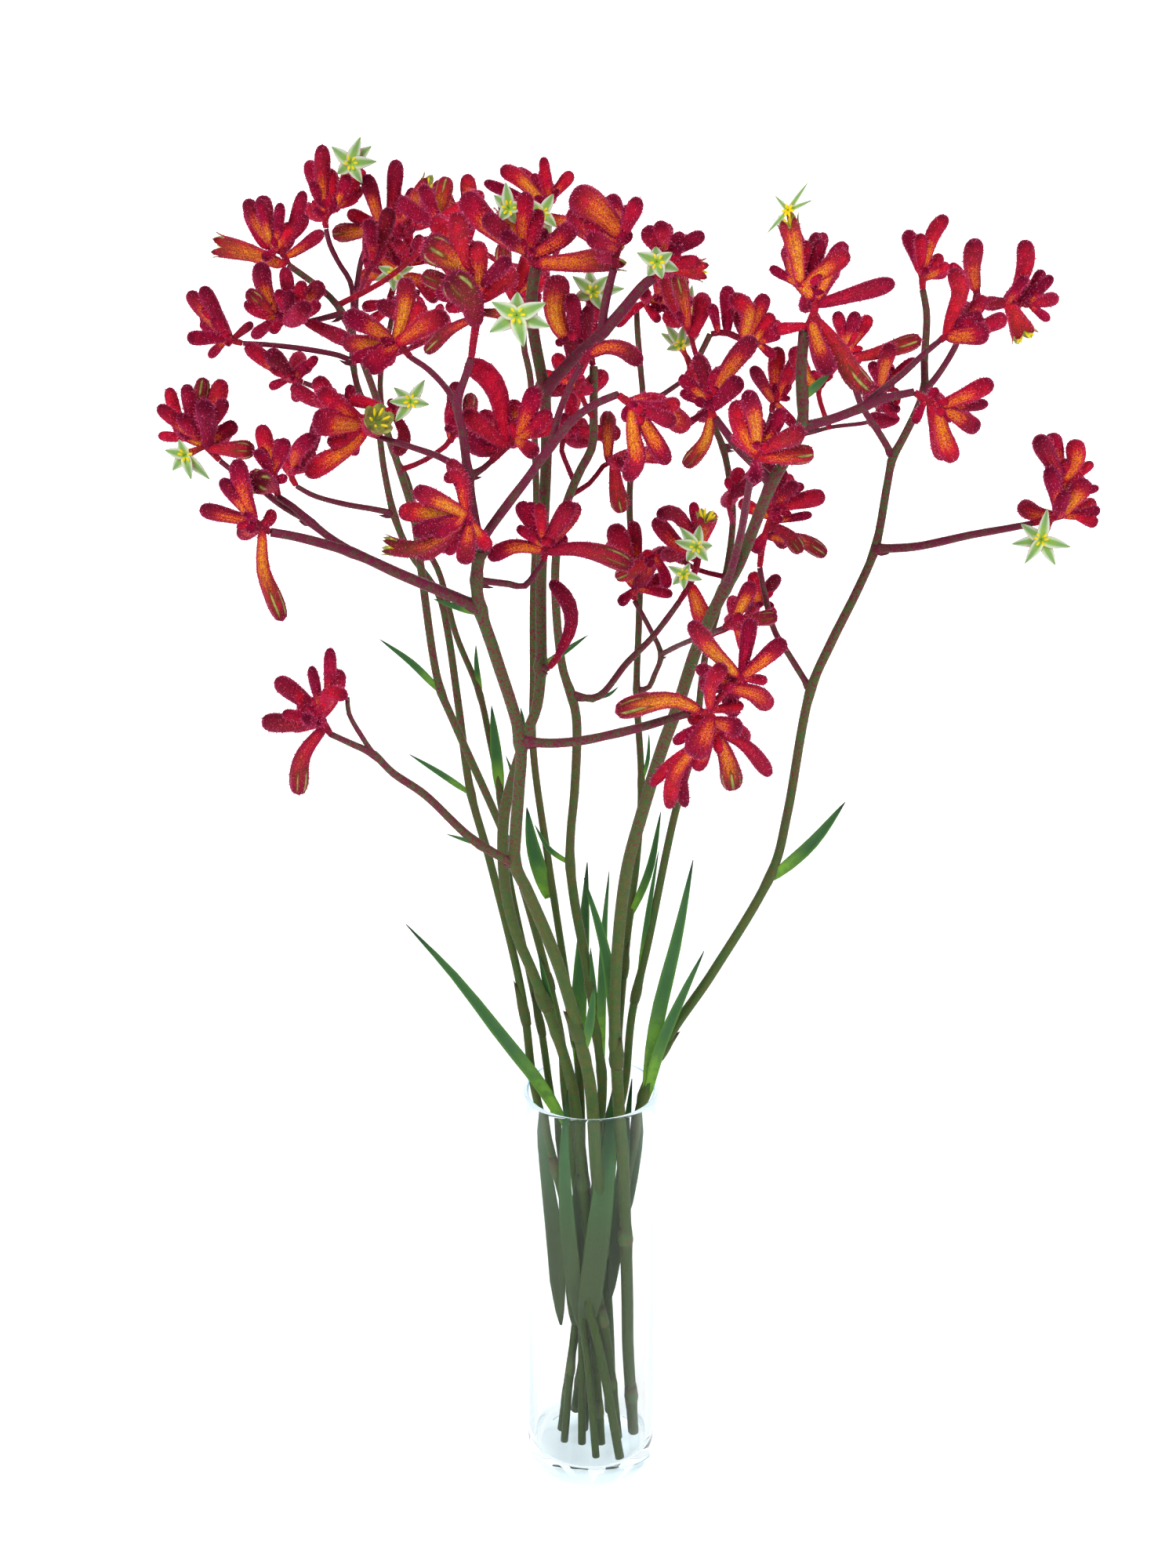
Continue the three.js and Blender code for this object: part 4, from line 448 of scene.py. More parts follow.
    ["bud", 17, [202, 518], [248, 558]],
    ["bud", 16, [215, 494], [226, 530], [246, 557], 8],
    ["bud", 18, [238, 490], [248, 556], -7],
    ["slit", 20, [260, 481], [250, 556], 9],
    ["bud", 18, [230, 530], [252, 562], -12],
    ["bud", 18, [288, 510], [256, 562], -6],
    ["bud", 18, [302, 540], [262, 568], 5],
    ["slit", 22, [324, 574], [266, 572], -8],
    ["bud", 13, [202, 556], [250, 560], 6],
    ["star", 14, [236, 580], [262, 570], [[210, 574], [220, 600], [244, 612], [268, 612],
      [228, 560]]]]},
  "head_29": {"depth": -46, "rachis": [[[355, 634], [350, 616], [346, 604]]], "flowers": [
    ["bud", 16, [333, 570], [347, 610], 6],
    ["slit", 32, [322, 612], [350, 622], -16],
    ["bud", 18, [365, 560], [349, 606], -6]]},
  "head_30": {"depth": 40, "rachis": [[[378, 620], [372, 608], [376, 596]]], "flowers": [
    ["bud", 20, [401, 556], [380, 575], [374, 604]],
    ["dark", 16, [404, 536], [398, 570], [376, 600], 8],
    ["bud", 14, [352, 560], [372, 600], 6]]},
  "head_31": {"depth": -64, "rachis": [[[346, 679], [334, 673], [322, 662]]], "flowers": [
    ["bud", 23, [302, 586], [310, 625], [325, 664]],
    ["bud", 18, [282, 611], [324, 664], -9],
    ["bud", 22, [255, 649], [326, 667], 6],
    ["slit", 23, [361, 793], [348, 760], [336, 728], [333, 676], -5]]},
  "head_32": {"depth": 55, "rachis": [[[387, 488], [378, 484], [368, 482]]], "flowers": [
    ["dark", 24, [343, 448], [374, 484]],
    ["bud", 12, [404, 455], [378, 484], -6],
    ["bud", 12, [344, 494], [370, 484], 5],
    ["bud", 13, [378, 512], [376, 486], -8]]},
  "head_33": {"depth": -38, "rachis": [[[485, 558], [468, 546], [456, 536]], [[472, 550],
    [496, 528], [516, 520]]],
    "flowers": [
    ["bud", 22, [408, 498], [456, 536]],
    ["bud", 32, [400, 538], [460, 542], -12],
    ["cup", 34, [484, 534], [470, 548], -12],
    ["bud", 26, [390, 606], [415, 590], [445, 570], [468, 548], 5],
    ["star", 14, [524, 512], [512, 522], [[502, 494], [542, 484], [496, 512], [504, 538], [548, 516]]],
    ["dark", 20, [506, 580], [516, 556], [502, 526], 9]]},
  "head_34": {"depth": -52, "rachis": [[[625, 590], [640, 575], [654, 562], [668, 553]]], "flowers": [
    ["bud", 28, [593, 463], [620, 478], [636, 505], [644, 572], 6],
    ["bud", 24, [591, 526], [646, 570], -8],
    ["bud", 24, [684, 493], [668, 540], [658, 560], -5],
    ["bud", 20, [656, 510], [655, 562], 10],
    ["bud", 20, [700, 534], [666, 556], 6],
    ["bud", 20, [684, 580], [660, 562], -8]]},
  "head_35": {"depth": -84, "rachis": [[[788, 503], [800, 512], [814, 520]]], "flowers": [
    ["bud", 24, [798, 614], [812, 586], [808, 556], [804, 516], -4],
    ["bud", 20, [867, 512], [840, 522], [812, 520], 6],
    ["bud", 20, [862, 540], [814, 522], -6],
    ["bud", 20, [842, 578], [812, 521], 8]]},
  "head_36": {"depth": -75, "rachis": [[[741, 465], [748, 456], [754, 450]]], "flowers": [
    ["bud", 22, [819, 464], [795, 446], [772, 443], [750, 454], -5]]},
  "head_37": {"depth": -42, "rachis": [[[693, 716], [695, 702], [692, 692]]], "flowers": [
    ["bud", 20, [662, 640], [692, 692], 5],
    ["bud", 15, [688, 642], [693, 694], -9],
    ["bud", 22, [730, 640], [696, 696], -5],
    ["bud", 13, [660, 672], [693, 698], -7],
    ["bud", 22, [622, 712], [655, 697], [694, 702], -6],
    ["slit", 25, [808, 723], [770, 707], [735, 700], [696, 704], -8]]},
  "head_38": {"depth": -76, "rachis": [[[600, 674], [598, 660], [590, 652]]], "flowers": [
    ["bud", 18, [566, 612], [583, 608], [594, 655], -5],
    ["bud", 24, [508, 653], [592, 654], 5],
    ["bud", 20, [526, 680], [594, 660], -10],
    ["bud", 26, [533, 710], [596, 666], 8],
    ["bud", 22, [592, 720], [600, 668], -8],
    ["bud", 18, [624, 700], [600, 664], 6],
    ["open", 22, [487, 694], [530, 700], [596, 664], -2]]},
  "head_39": {"depth": -76, "rachis": [[[880, 909], [898, 908], [914, 922], [914, 938]],
    [[902, 908], [925, 882], [946, 862]]],
    "flowers": [
    ["slit", 28, [784, 909], [820, 898], [860, 893], [896, 906], -6],
    ["bud", 21, [924, 848], [908, 870], [905, 905], -10],
    ["bud", 24, [945, 930], [912, 918], -9],
    ["bud", 15, [948, 900], [906, 908], 10],
    ["bud", 34, [884, 966], [898, 935], [908, 914], -10],
    ["slit", 28, [936, 1008], [928, 970], [914, 936], -4],
    ["bud", 20, [983, 989], [950, 950], [914, 932], 6],
    ["bud", 15, [830, 1003], [858, 972], [880, 955], [908, 924], 6],
    ["bud", 20, [853, 1032], [862, 985], [890, 950], [910, 928], 2],
    ["bud", 17, [874, 1030], [870, 985], [895, 950], [912, 930], 10],
    ["bud", 24, [880, 793], [905, 825], [944, 864], -5],
    ["bud", 21, [958, 788], [948, 862], 5],
    ["bud", 22, [1002, 816], [965, 848], [944, 864], -4],
    ["bud", 14, [978, 868], [944, 864], 7]]},
  "head_40": {"depth": 52, "rachis": [[[809, 766], [810, 748], [818, 738]]], "flowers": [
    ["bud", 28, [783, 668], [796, 710], [810, 750], -4],
    ["bud", 18, [808, 664], [814, 744], 8],
    ["bud", 16, [846, 703], [816, 742], -6],
    ["bud", 16, [852, 736], [814, 746], 6],
    ["bud", 14, [858, 758], [812, 750], -8],
    ["bud", 14, [790, 770], [810, 752], -9]]},
  "head_41": {"depth": -68, "rachis": [[[421, 936], [413, 922], [410, 912]]], "flowers": [
    ["bud", 17, [421, 826], [420, 878], [411, 914]],
    ["bud", 15, [397, 850], [409, 914], -8],
    ["bud", 15, [376, 880], [395, 905], [411, 918], 6],
    ["bud", 16, [360, 910], [412, 921], -7],
    ["bud", 20, [442, 888], [420, 884], [410, 912], -12],
    ["bud", 12, [372, 930], [413, 924], 8],
    ["slit", 24, [380, 1014], [386, 965], [414, 926], -3]]},
  "head_42": {"depth": 4, "rachis": [[[923, 801], [934, 792], [940, 800]]], "flowers": [
    ["bud", 20, [960, 742], [934, 794], 6],
    ["slit", 19, [992, 786], [936, 794], -6],
    ["bud", 15, [952, 832], [938, 798], 6]]},
  "head_43": {"depth": 14, "rachis": [[[866, 768], [880, 745], [890, 715], [892, 690]]], "flowers": [
    ["star", 12, [872, 732], [882, 744], [[852, 722], [858, 746], [880, 718], [896, 740], [872, 752]]],
    ["bud", 24, [898, 796], [888, 765], [881, 745], 6],
    ["bud", 20, [838, 657], [860, 655], [890, 695]],
    ["bud", 14, [884, 640], [892, 692], 8],
    ["cup", 24, [902, 655], [892, 692], -4],
    ["star", 15, [888, 697], [891, 708], [[867, 672], [893, 669], [860, 690], [909, 696],
      [903, 716], [876, 716]]]]},
  "head_44": {"depth": 20, "rachis": [[[969, 724], [973, 692], [982, 664], [990, 640]]], "flowers": [
    ["slit", 20, [1023, 705], [1004, 682], [980, 668], -5],
    ["bud", 12, [1036, 656], [982, 666], 6],
    ["slit", 20, [1054, 708], [1024, 690], [976, 684], 8],
    ["bud", 18, [1016, 615], [988, 644], -5],
    ["bud", 13, [1000, 598], [990, 642], 8],
    ["bud", 16, [942, 640], [984, 660], 6],
    ["bud", 16, [962, 704], [976, 680], -8]]},
  "head_45": {"depth": -22, "rachis": [[[700, 852], [708, 842], [713, 834]]], "flowers": [
    ["bud", 20, [702, 740], [725, 770], [728, 800], [711, 838], -5]]},
}

# Sizes in mm shared by all flowers, and how far a flower leans towards or away from the eye
FLOWER = {"length": 34.0, "max_lean": 15.0, "hidden_share": 0.6, "lean_share": 0.9, "small_lean_share": 0.5,
          "small_width": 16, "stalk": 2.0}
STAR = {"lean": -10.0, "stagger": 2.0, "throat": 1.125}

# In mm: half the width of a head's axis, the gap between a head and its branch, how far a cut foot stands
# above the vase's floor for each mm of its width, and the height of that floor
RACHIS_RADIUS = 2.2
SEAT_GAP = 0.35
FOOT_RISE = 0.11
VASE_FLOOR = 10

# How uneven a twig is, how it swells at a branch or leaf and how far in mm, and its shallow furrows
TWIG = {"uneven": 0.05, "swelling": 0.2, "reach": 3.5, "furrows": 5, "furrow": 0.035}

# How deep a hair is sunk in mm, how much it leans, and the range of its length
HAIR = {"sink": 0.08, "lean": 0.28, "shortest": 0.55, "spread": 0.75}

# Where each kind of random draw starts
SEEDS = {"head": 400, "spray": 820, "sheath": 300, "joints": 900, "stem hairs": 50, "flower hairs": 700}

# Leaf bases that sheathe the stems inside the vase: the width in mm, and the line from tip to root
BLADES = {
    "stem_06": [
        {"width": 13.5, "line": [[792, 1350, -2], [782, 1420, -10], [773, 1490, -14], [763, 1570, -15],
                                 [753, 1650, -12], [744, 1716, -6]]},
        {"width": 9.0, "line": [[724, 1390, -14], [720, 1470, -17], [724, 1560, -17], [733, 1640, -12],
                                [743, 1704, -8]]}],
    "stem_03": [
        {"width": 10.5, "line": [[744, 1440, -6], [739, 1520, -8], [735, 1600, -8], [731, 1690, -4]]}],
    "stem_01": [
        {"width": 9.5, "line": [[682, 1400, 4], [694, 1480, 5], [706, 1570, 5], [715, 1690, 3]]}],
    "stem_10": [
        {"width": 8.5, "line": [[824, 1402, 4], [808, 1480, 5], [792, 1565, 3]]},
        {"width": 8.0, "line": [[806, 1376, 4], [797, 1460, 0], [787, 1560, -4], [779, 1656, -4]]}],
}

# Smaller sprays behind and between the heads: where each stands, the way it points in the picture,
# and how many flowers it has
SPRAYS = [
    {"at": [556, 296, 30], "way": [6, -30], "flowers": 6},
    {"at": [436, 528, 40], "way": [-12, -20], "flowers": 7},
    {"at": [576, 560, 20], "way": [4, -26], "flowers": 5},
    {"at": [740, 500, 10], "way": [-10, -26], "flowers": 7},
    {"at": [716, 566, 34], "way": [14, -18], "flowers": 6},
    {"at": [778, 588, 30], "way": [16, 6], "flowers": 6},
    {"at": [1030, 372, 24], "way": [6, -28], "flowers": 6},
    {"at": [1142, 530, 30], "way": [-6, -14], "flowers": 4},
    {"at": [560, 420, 10], "way": [-14, -20], "flowers": 6},
    {"at": [650, 400, 45], "way": [10, -24], "flowers": 7},
    {"at": [880, 424, 46], "way": [-12, -18], "flowers": 5},
    {"at": [1044, 500, 48], "way": [4, -16], "flowers": 4},
    {"at": [930, 640, 30], "way": [6, -20], "flowers": 6},
    {"at": [470, 344, 44], "way": [8, -22], "flowers": 5},
    {"at": [598, 306, 46], "way": [-14, -18], "flowers": 5},
    {"at": [846, 700, 40], "way": [-10, 8], "flowers": 5},
    {"at": [958, 780, 34], "way": [12, -10], "flowers": 4},
    {"at": [722, 298, 16], "way": [16, -12], "flowers": 5},
]

# Cross-sections of a flower from root to tip: how far along, and how wide as a share of its width
FORMS = {
    "bud": [(0, 0), (0.01, 0.3), (0.04, 0.42), (0.1, 0.56), (0.19, 0.66), (0.3, 0.74), (0.42, 0.81),
            (0.54, 0.9), (0.66, 0.98), (0.77, 1.0), (0.86, 0.94), (0.93, 0.77), (0.975, 0.5), (1, 0)],
    "slit": [(0, 0), (0.01, 0.3), (0.04, 0.4), (0.1, 0.52), (0.2, 0.6), (0.32, 0.68), (0.44, 0.77),
             (0.55, 0.86), (0.64, 0.93), (0.73, 1.0), (0.82, 1.0), (0.9, 0.88), (0.96, 0.66), (1, 0)],
    "open": [(0, 0), (0.01, 0.3), (0.05, 0.42), (0.12, 0.54), (0.24, 0.62), (0.36, 0.7), (0.48, 0.79),
             (0.6, 0.88), (0.71, 0.96), (0.79, 1.0), (0.85, 1.02)],
    "cup": [(0, 0), (0.02, 0.3), (0.1, 0.46), (0.25, 0.62), (0.4, 0.78), (0.55, 0.9),
            (0.7, 0.98), (0.81, 1.0)],
}
FORMS["dark"] = [(share, 0.92 * wide) for share, wide in FORMS["bud"]]
FORMS["star"] = [(0, 0), (0.01, 0.4), (0.2, 0.5), (0.45, 0.68), (0.7, 0.85), (0.88, 0.96), (0.97, 1.02),
                 (1.0, 0.98), (0.98, 0.86), (0.94, 0.72), (0.9, 0.5), (0.88, 0.25), (0.87, 0)]
FORMS["tiny"] = [(0, 0), (0.02, 0.3), (0.12, 0.5), (0.3, 0.72), (0.5, 0.92), (0.68, 1.0), (0.84, 0.86),
                 (0.95, 0.5), (1, 0)]


def spread_depth(depth, down):
    share = (SPREAD["from"] - down) / (SPREAD["from"] - SPREAD["to"])
    return depth * (1 + SPREAD["gain"] * min(max(share, 0.0), 1.0))


def place(spot, rim_depth, lean=0.0):
    """The point in mm that a picture coordinate and a depth stand for."""
    depth = spread_depth(rim_depth, spot[1]) + lean
    right = (spot[0] - EYE["middle"][0]) / EYE["focal"]
    below = (spot[1] - EYE["middle"][1]) / EYE["focal"]
    along_y = math.cos(EYE["tilt"]) - below * math.sin(EYE["tilt"])
    along_z = -math.sin(EYE["tilt"]) - below * math.cos(EYE["tilt"])
    reach = (depth - EYE["y"]) / along_y
    return np.array([EYE["x"] + reach * right, depth, EYE["z"] + reach * along_z])


def mm_per_unit(spot, rim_depth):
    return (spread_depth(rim_depth, spot[1]) - EYE["y"]) / (math.cos(EYE["tilt"]) * EYE["focal"])


def placed(line):
    return [place(point[:2], point[2]) for point in line]


def length_of(vector):
    return float(np.linalg.norm(vector))


def unit(vector):
    return vector / length_of(vector)


def moved_on(start, towards, distance):
    return start + unit(towards - start) * distance


class Line:
    """A smooth line through points in mm, with sideways and deep directions that twist little."""

    STEPS = 16

    def __init__(self, points):
        points = [np.asarray(p, float) for p in points]
        points = [p for i, p in enumerate(points) if i == 0 or length_of(p - points[i - 1]) > 0.01]
        padded = [2 * points[0] - points[1], *points, 2 * points[-1] - points[-2]]
        dense = [points[0]]
        for p0, p1, p2, p3 in zip(padded, padded[1:], padded[2:], padded[3:]):
            d0, d1, d2 = (math.sqrt(length_of(b - a)) for a, b in ((p0, p1), (p1, p2), (p2, p3)))
            t1 = ((p1 - p0) / d0 - (p2 - p0) / (d0 + d1) + (p2 - p1) / d1) * d1
            t2 = ((p2 - p1) / d1 - (p3 - p1) / (d1 + d2) + (p3 - p2) / d2) * d1
            for step in range(1, self.STEPS + 1):
                t = step / self.STEPS
                square = 3 * (p2 - p1) - 2 * t1 - t2
                cube = 2 * (p1 - p2) + t1 + t2
                dense.append(p1 + t1 * t + square * t ** 2 + cube * t ** 3)
        self.points = np.array(dense)
        steps = np.linalg.norm(np.diff(self.points, axis=0), axis=1)
        self.reach = np.concatenate([[0.0], np.cumsum(steps)])
        self.length = float(self.reach[-1])
        ways = np.gradient(self.points, axis=0)
        self.ways = ways / np.linalg.norm(ways, axis=1)[:, None]
        side = np.cross(self.ways[0], (0, 1, 0))
        if length_of(side) < 0.2:
            side = np.cross(self.ways[0], (1, 0, 0))
        sides = []
        for way in self.ways:
            side = unit(side - way * side.dot(way))
            sides.append(side)
        self.sides = np.array(sides)
        self.deeps = np.cross(self.ways, self.sides)

    def at(self, shares, values=None):
        """The points, or other values kept along the line, at shares of its length."""
        values = self.points if values is None else values
        where = np.clip(shares, 0, 1) * self.length
        return np.stack([np.interp(where, self.reach, values[:, k]) for k in range(3)], axis=-1)


def ease(low, high, values):
    """0 below low, 1 above high, and a smooth rise between."""
    t = np.clip((np.asarray(values, float) - low) / (high - low), 0, 1)
    return t * t * (3 - 2 * t)


class Skin:
    """A mesh that grows by closed skins, each a grid bent round a line, with looks for its materials."""

    LOOKS = ("glow", "ripe", "pale", "dark", "furry", "shade")

    def __init__(self):
        self.bm = bmesh.new()
        self.uv = self.bm.loops.layers.uv.new("Skin")
        self.layers = {name: self.bm.verts.layers.float.new(name) for name in self.LOOKS}

    def wrap(self, line, shares, radii, sides, material=0, flat=1.0, looks=None, shift=0.0):
        """Bends a grid round the line: a row of columns for each share. Rows of no radius close the ends."""
        rows = len(shares)
        turn = np.arange(sides + 1) / sides * TURN
        turn[-1] = 0.0
        shares = np.broadcast_to(np.asarray(shares, float).reshape(rows, -1), (rows, sides + 1))
        radii = np.broadcast_to(np.asarray(radii, float).reshape(rows, -1), (rows, sides + 1))
        middle, side, deep = line.at(shares), line.at(shares, line.sides), line.at(shares, line.deeps)
        across = side * (radii * np.cos(turn))[..., None]
        inwards = deep * (radii * flat * np.sin(turn))[..., None]
        spots = middle + across + inwards + shift
        grid = bmesh.ops.create_grid(self.bm, x_segments=sides, y_segments=rows - 1, size=0.5, calc_uvs=True)
        values = {name: np.broadcast_to((looks or {}).get(name, 0.0), shares.shape) for name in self.LOOKS}
        for vert in grid["verts"]:
            column = round((vert.co.x + 0.5) * sides)
            row = round((vert.co.y + 0.5) * (rows - 1))
            vert.co = spots[row, column] * MM
            for name, layer in self.layers.items():
                vert[layer] = values[name][row, column]
        faces = {face for vert in grid["verts"] for face in vert.link_faces}
        for face in faces:
            face.material_index = material
            face.smooth = True
        bmesh.ops.remove_doubles(self.bm, verts=grid["verts"], dist=2e-6)

    def piece(self, name, materials, slot):
        bmesh.ops.recalc_face_normals(self.bm, faces=self.bm.faces)
        return dressed(name, mesh_of(self.bm, name), materials)


def mesh_of(bm, name):
    mesh = bpy.data.meshes.new(name)
    bm.to_mesh(mesh)
    bm.free()
    return mesh


def dressed(name, mesh, materials):
    for material in materials:
        mesh.materials.append(material)
    piece = bpy.data.objects.new(name, mesh)
    bpy.context.scene.collection.objects.link(piece)
    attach(piece, "root")
    return piece


# Hairs

def hair_template():
    """One hair: a slim closed spike, one unit long, thinning to its tip."""
    bm = bmesh.new()
    bmesh.ops.create_cone(bm, cap_ends=True, cap_tris=True, segments=3, radius1=1.0, radius2=0.0, depth=1.0)
    bmesh.ops.remove_doubles(bm, verts=bm.verts, dist=1e-5)
    bmesh.ops.translate(bm, verts=bm.verts, vec=(0, 0, 0.5))
    bmesh.ops.recalc_face_normals(bm, faces=bm.faces)
    corners = np.array([vert.co[:] for vert in bm.verts])
    faces = np.array([[vert.index for vert in face.verts] for face in bm.faces])
    bm.free()
    return corners, faces


def rows_of(items, field, width, kind=np.float32):
    """What a mesh keeps for its items, in rows of the given width."""
    values = np.empty(len(items) * width, kind)
    items.foreach_get(field, values)
    return values.reshape(-1, width)


def unit_rows(vectors):
    return vectors / np.linalg.norm(vectors, axis=1)[:, None]


def hair_roots(mesh, per_mm2, rng):
    """Spots in mm spread over a mesh as its furry value asks, and the way that each faces."""
    mesh.calc_loop_triangles()
    corners = rows_of(mesh.loop_triangles, "vertices", 3, np.int32)
    spots = rows_of(mesh.vertices, "co", 3).astype(float) / MM
    normals = rows_of(mesh.vertices, "normal", 3).astype(float)
    furry = rows_of(mesh.attributes["furry"].data, "value", 1)[:, 0]
    a, b, c = (spots[corners[:, k]] for k in range(3))
    area = np.linalg.norm(np.cross(b - a, c - a), axis=1) / 2
    weight = area * furry[corners].mean(axis=1)
    total = int(weight.sum() * per_mm2)
    picks = (np.arange(total) + rng.random(total)) / total
    chosen = np.searchsorted(np.cumsum(weight) / weight.sum(), picks)
    chosen = np.minimum(chosen, len(corners) - 1)
    first, second = np.sqrt(rng.random(total)), rng.random(total)
    shares = np.stack([1 - first, first * (1 - second), first * second], axis=1)
    roots = np.einsum("nk,nkd->nd", shares, spots[corners[chosen]])
    ways = unit_rows(np.einsum("nk,nkd->nd", shares, normals[corners[chosen]]))
    return roots, ways


def add_hairs(piece, material, looks, seed):
    """Sets hairs over a piece as its furry value asks, each leaning its own way."""
    rng = np.random.default_rng(seed)
    roots, ways = hair_roots(piece.data, looks.hair_density, rng)
    total = len(roots)
    ways = unit_rows(ways + rng.normal(0, HAIR["lean"], (total, 3)))
    sides = unit_rows(np.cross(ways, rng.normal(0, 1, (total, 3))))
    deeps = np.cross(ways, sides)
    long = looks.hair_length / MM * (HAIR["shortest"] + HAIR["spread"] * rng.random(total))
    template, faces = hair_template()
    x, y, z = template.T
    half = looks.hair_width / MM / 2
    verts = roots[:, None] - ways[:, None] * HAIR["sink"]
    verts = verts + sides[:, None] * (x * half)[None, :, None]
    verts = verts + deeps[:, None] * (y * half)[None, :, None]
    verts = verts + (ways * long[:, None])[:, None] * z[None, :, None]
    indices = (faces[None] + np.arange(total)[:, None, None] * len(template)).reshape(-1)
    name = piece.name.removesuffix("_fine") + "_hairs"
    hairs = bpy.data.meshes.new(name)
    hairs.vertices.add(total * len(template))
    hairs.vertices.foreach_set("co", (verts.reshape(-1) * MM).astype(np.float32))
    hairs.loops.add(len(indices))
    hairs.loops.foreach_set("vertex_index", indices.astype(np.int32))
    hairs.polygons.add(total * len(faces))
    hairs.polygons.foreach_set("loop_start", np.arange(0, len(indices), 3, dtype=np.int32))
    hairs.polygons.foreach_set("use_smooth", np.ones(total * len(faces), bool))
    tone = hairs.attributes.new("tone", "FLOAT", "POINT")
    tone.data.foreach_set("value", np.repeat(rng.random(total), len(template)).astype(np.float32))
    height = hairs.attributes.new("height", "FLOAT", "POINT")
    height.data.foreach_set("value", np.tile(z, total).astype(np.float32))
    hairs.update()
    dressed(name, hairs, [material])


# Stems and leaves

def leaf(skin, width, points, seed, root=0.5, fresh=1.0):
    """A folded ribbon from its pointed tip to its root, sunk into the stem."""
    line = Line(points)
    shares = np.array([0, 0.0, 0.06, 0.14, 0.24, 0.36, 0.48, 0.6, 0.7, 0.8, 0.88, 0.94, 1, 1])
    wide = np.interp(shares, [0, 0.1, 0.3, 0.5, 0.65, 0.8, 0.93, 1],
                     [0.06, 0.33, 0.7, 0.93, 1, 0.95, (1 + root) / 2, root])
    half = wide * width / 2
    half[[0, -1]] = 0
    thick = np.interp(shares, [0, 0.3, 1], [0.25, 0.45, 0.6])
    sides = 12
    turn = np.arange(sides + 1) / sides * TURN
    deep = line.at(shares, line.deeps)
    fold = (half * 0.32)[:, None, None] * np.abs(np.cos(turn))[None, :, None] * deep[:, None, :]
    flat = np.where(half > 0, thick / np.maximum(half, 0.1), 0)[:, None]
    looks = {
        "glow": fresh * ease(0.35, 0.95, shares)[:, None] * (0.55 + 0.45 * np.sin(turn))[None, :],
        "pale": fresh * np.abs(np.cos(turn))[None, :] ** 6 * np.ones((len(shares), 1)),
        "dark": 1 - ease(0.0, 0.16, shares)[:, None],
        "ripe": 0.5 + 0.5 * np.cos(turn)[None, :] * np.ones((len(shares), 1)),
        "shade": (seed * 0.37) % 1.0,
    }
    skin.wrap(line, shares, half, sides, material=1, flat=flat, looks=looks, shift=fold)


def bract(skin, junction, way, radius):
    """The small dry scale that sits under a branch where it leaves its stem."""
    root = junction - way * 1.5
    tip = junction + way * 8.0 - np.array([0, 0, 2.6])
    middle = (root + tip) / 2 - np.array([0, 0, 1.0])
    line = Line([tip, middle, root])
    shares = np.array([0, 0.0, 0.2, 0.45, 0.7, 0.9, 1, 1])
    half = np.array([0, 0.12, 0.5, 0.85, 1.0, 1.0, 0.9, 0]) * radius * 0.75
    looks = {"ripe": 0.9, "dark": 1 - ease(0, 0.35, shares)[:, None], "furry": 0.4}
    skin.wrap(line, shares, half, 8, flat=0.45, looks=looks)


def sheath(skin, points, width, seed):
    """The base of a lost leaf, clasping the stem above the rim and drawn out to a point on one side."""
    rng = np.random.default_rng(SEEDS["sheath"] + seed)
    line = Line(points).points
    low = int(np.argmin(np.abs(line[:, 2] - rng.uniform(240, 300))))
    spot = line[low]
    way = unit(line[max(low - 8, 0)] - spot)
    way = way * (1 if way[2] > 0 else -1)
    lean = rng.normal(0, 1, 3)
    side = unit(lean - way * way.dot(lean)) * width / 2
    long = rng.uniform(15, 24)
    clasp = Line([spot - way * 3, spot + way * long * 0.35 + side * 0.15,
                  spot + way * long * 0.7 + side * 0.7, spot + way * long + side * 1.3])
    shares = np.array([0, 0.0, 0.1, 0.25, 0.45, 0.62, 0.78, 0.9, 1.0])
    half = np.array([0, 1.0, 1.13, 1.2, 1.12, 0.8, 0.5, 0.24, 0]) * width / 2
    looks = {"dark": 0.15 + 0.7 * ease(0.7, 1.0, shares)[:, None], "shade": rng.random()}
    skin.wrap(clasp, shares, half, 12, looks=looks)


def twig(skin, points, widths, knots, purple, fur, row_length, sides, seed):
    """A round stem or branch, thinning by its points, thicker where a branch or leaf leaves it."""
    line = Line(points)
    rng = np.random.default_rng(seed)
    dense = np.linspace(0, 1, len(line.points))
    radius = np.interp(dense, [0, 1], [widths[0] / 2, widths[1] / 2])
    radius *= 1 + TWIG["uneven"] * np.interp(dense, np.linspace(0, 1, 12), rng.uniform(-1, 1, 12))
    for knot in knots:
        gap = np.linalg.norm(line.points - knot, axis=1)
        radius *= 1 + TWIG["swelling"] * np.exp(-(gap / TWIG["reach"]) ** 2)
    rows = max(int(line.length / row_length), 4)
    shares = np.concatenate([[0], np.linspace(0, 1, rows), [1]])
    half = np.interp(shares * line.length, line.reach, radius)
    half[[0, -1]] = 0
    turn = np.arange(sides + 1) / sides * TURN
    furrows = 1 + TWIG["furrow"] * np.cos(TWIG["furrows"] * turn + seed)[None, :]
    looks = stem_looks(line.at(shares), shares, purple, fur)
    skin.wrap(line, shares, half[:, None] * furrows, sides, looks=looks)


def stem_looks(spots, shares, purple, fur):
    """Greener and smoother below, browner, more purple and hairier above."""
    height = spots[:, 2]
    return {
        "ripe": np.clip(ease(330, 620, height) * 0.5 + purple * 0.45, 0, 1)[:, None],
        "pale": (1 - ease(120, 260, height))[:, None],
        "furry": np.clip(ease(270, 460, height) * fur, 0, 1)[:, None],
        "glow": ease(0, 1, shares)[:, None],
    }


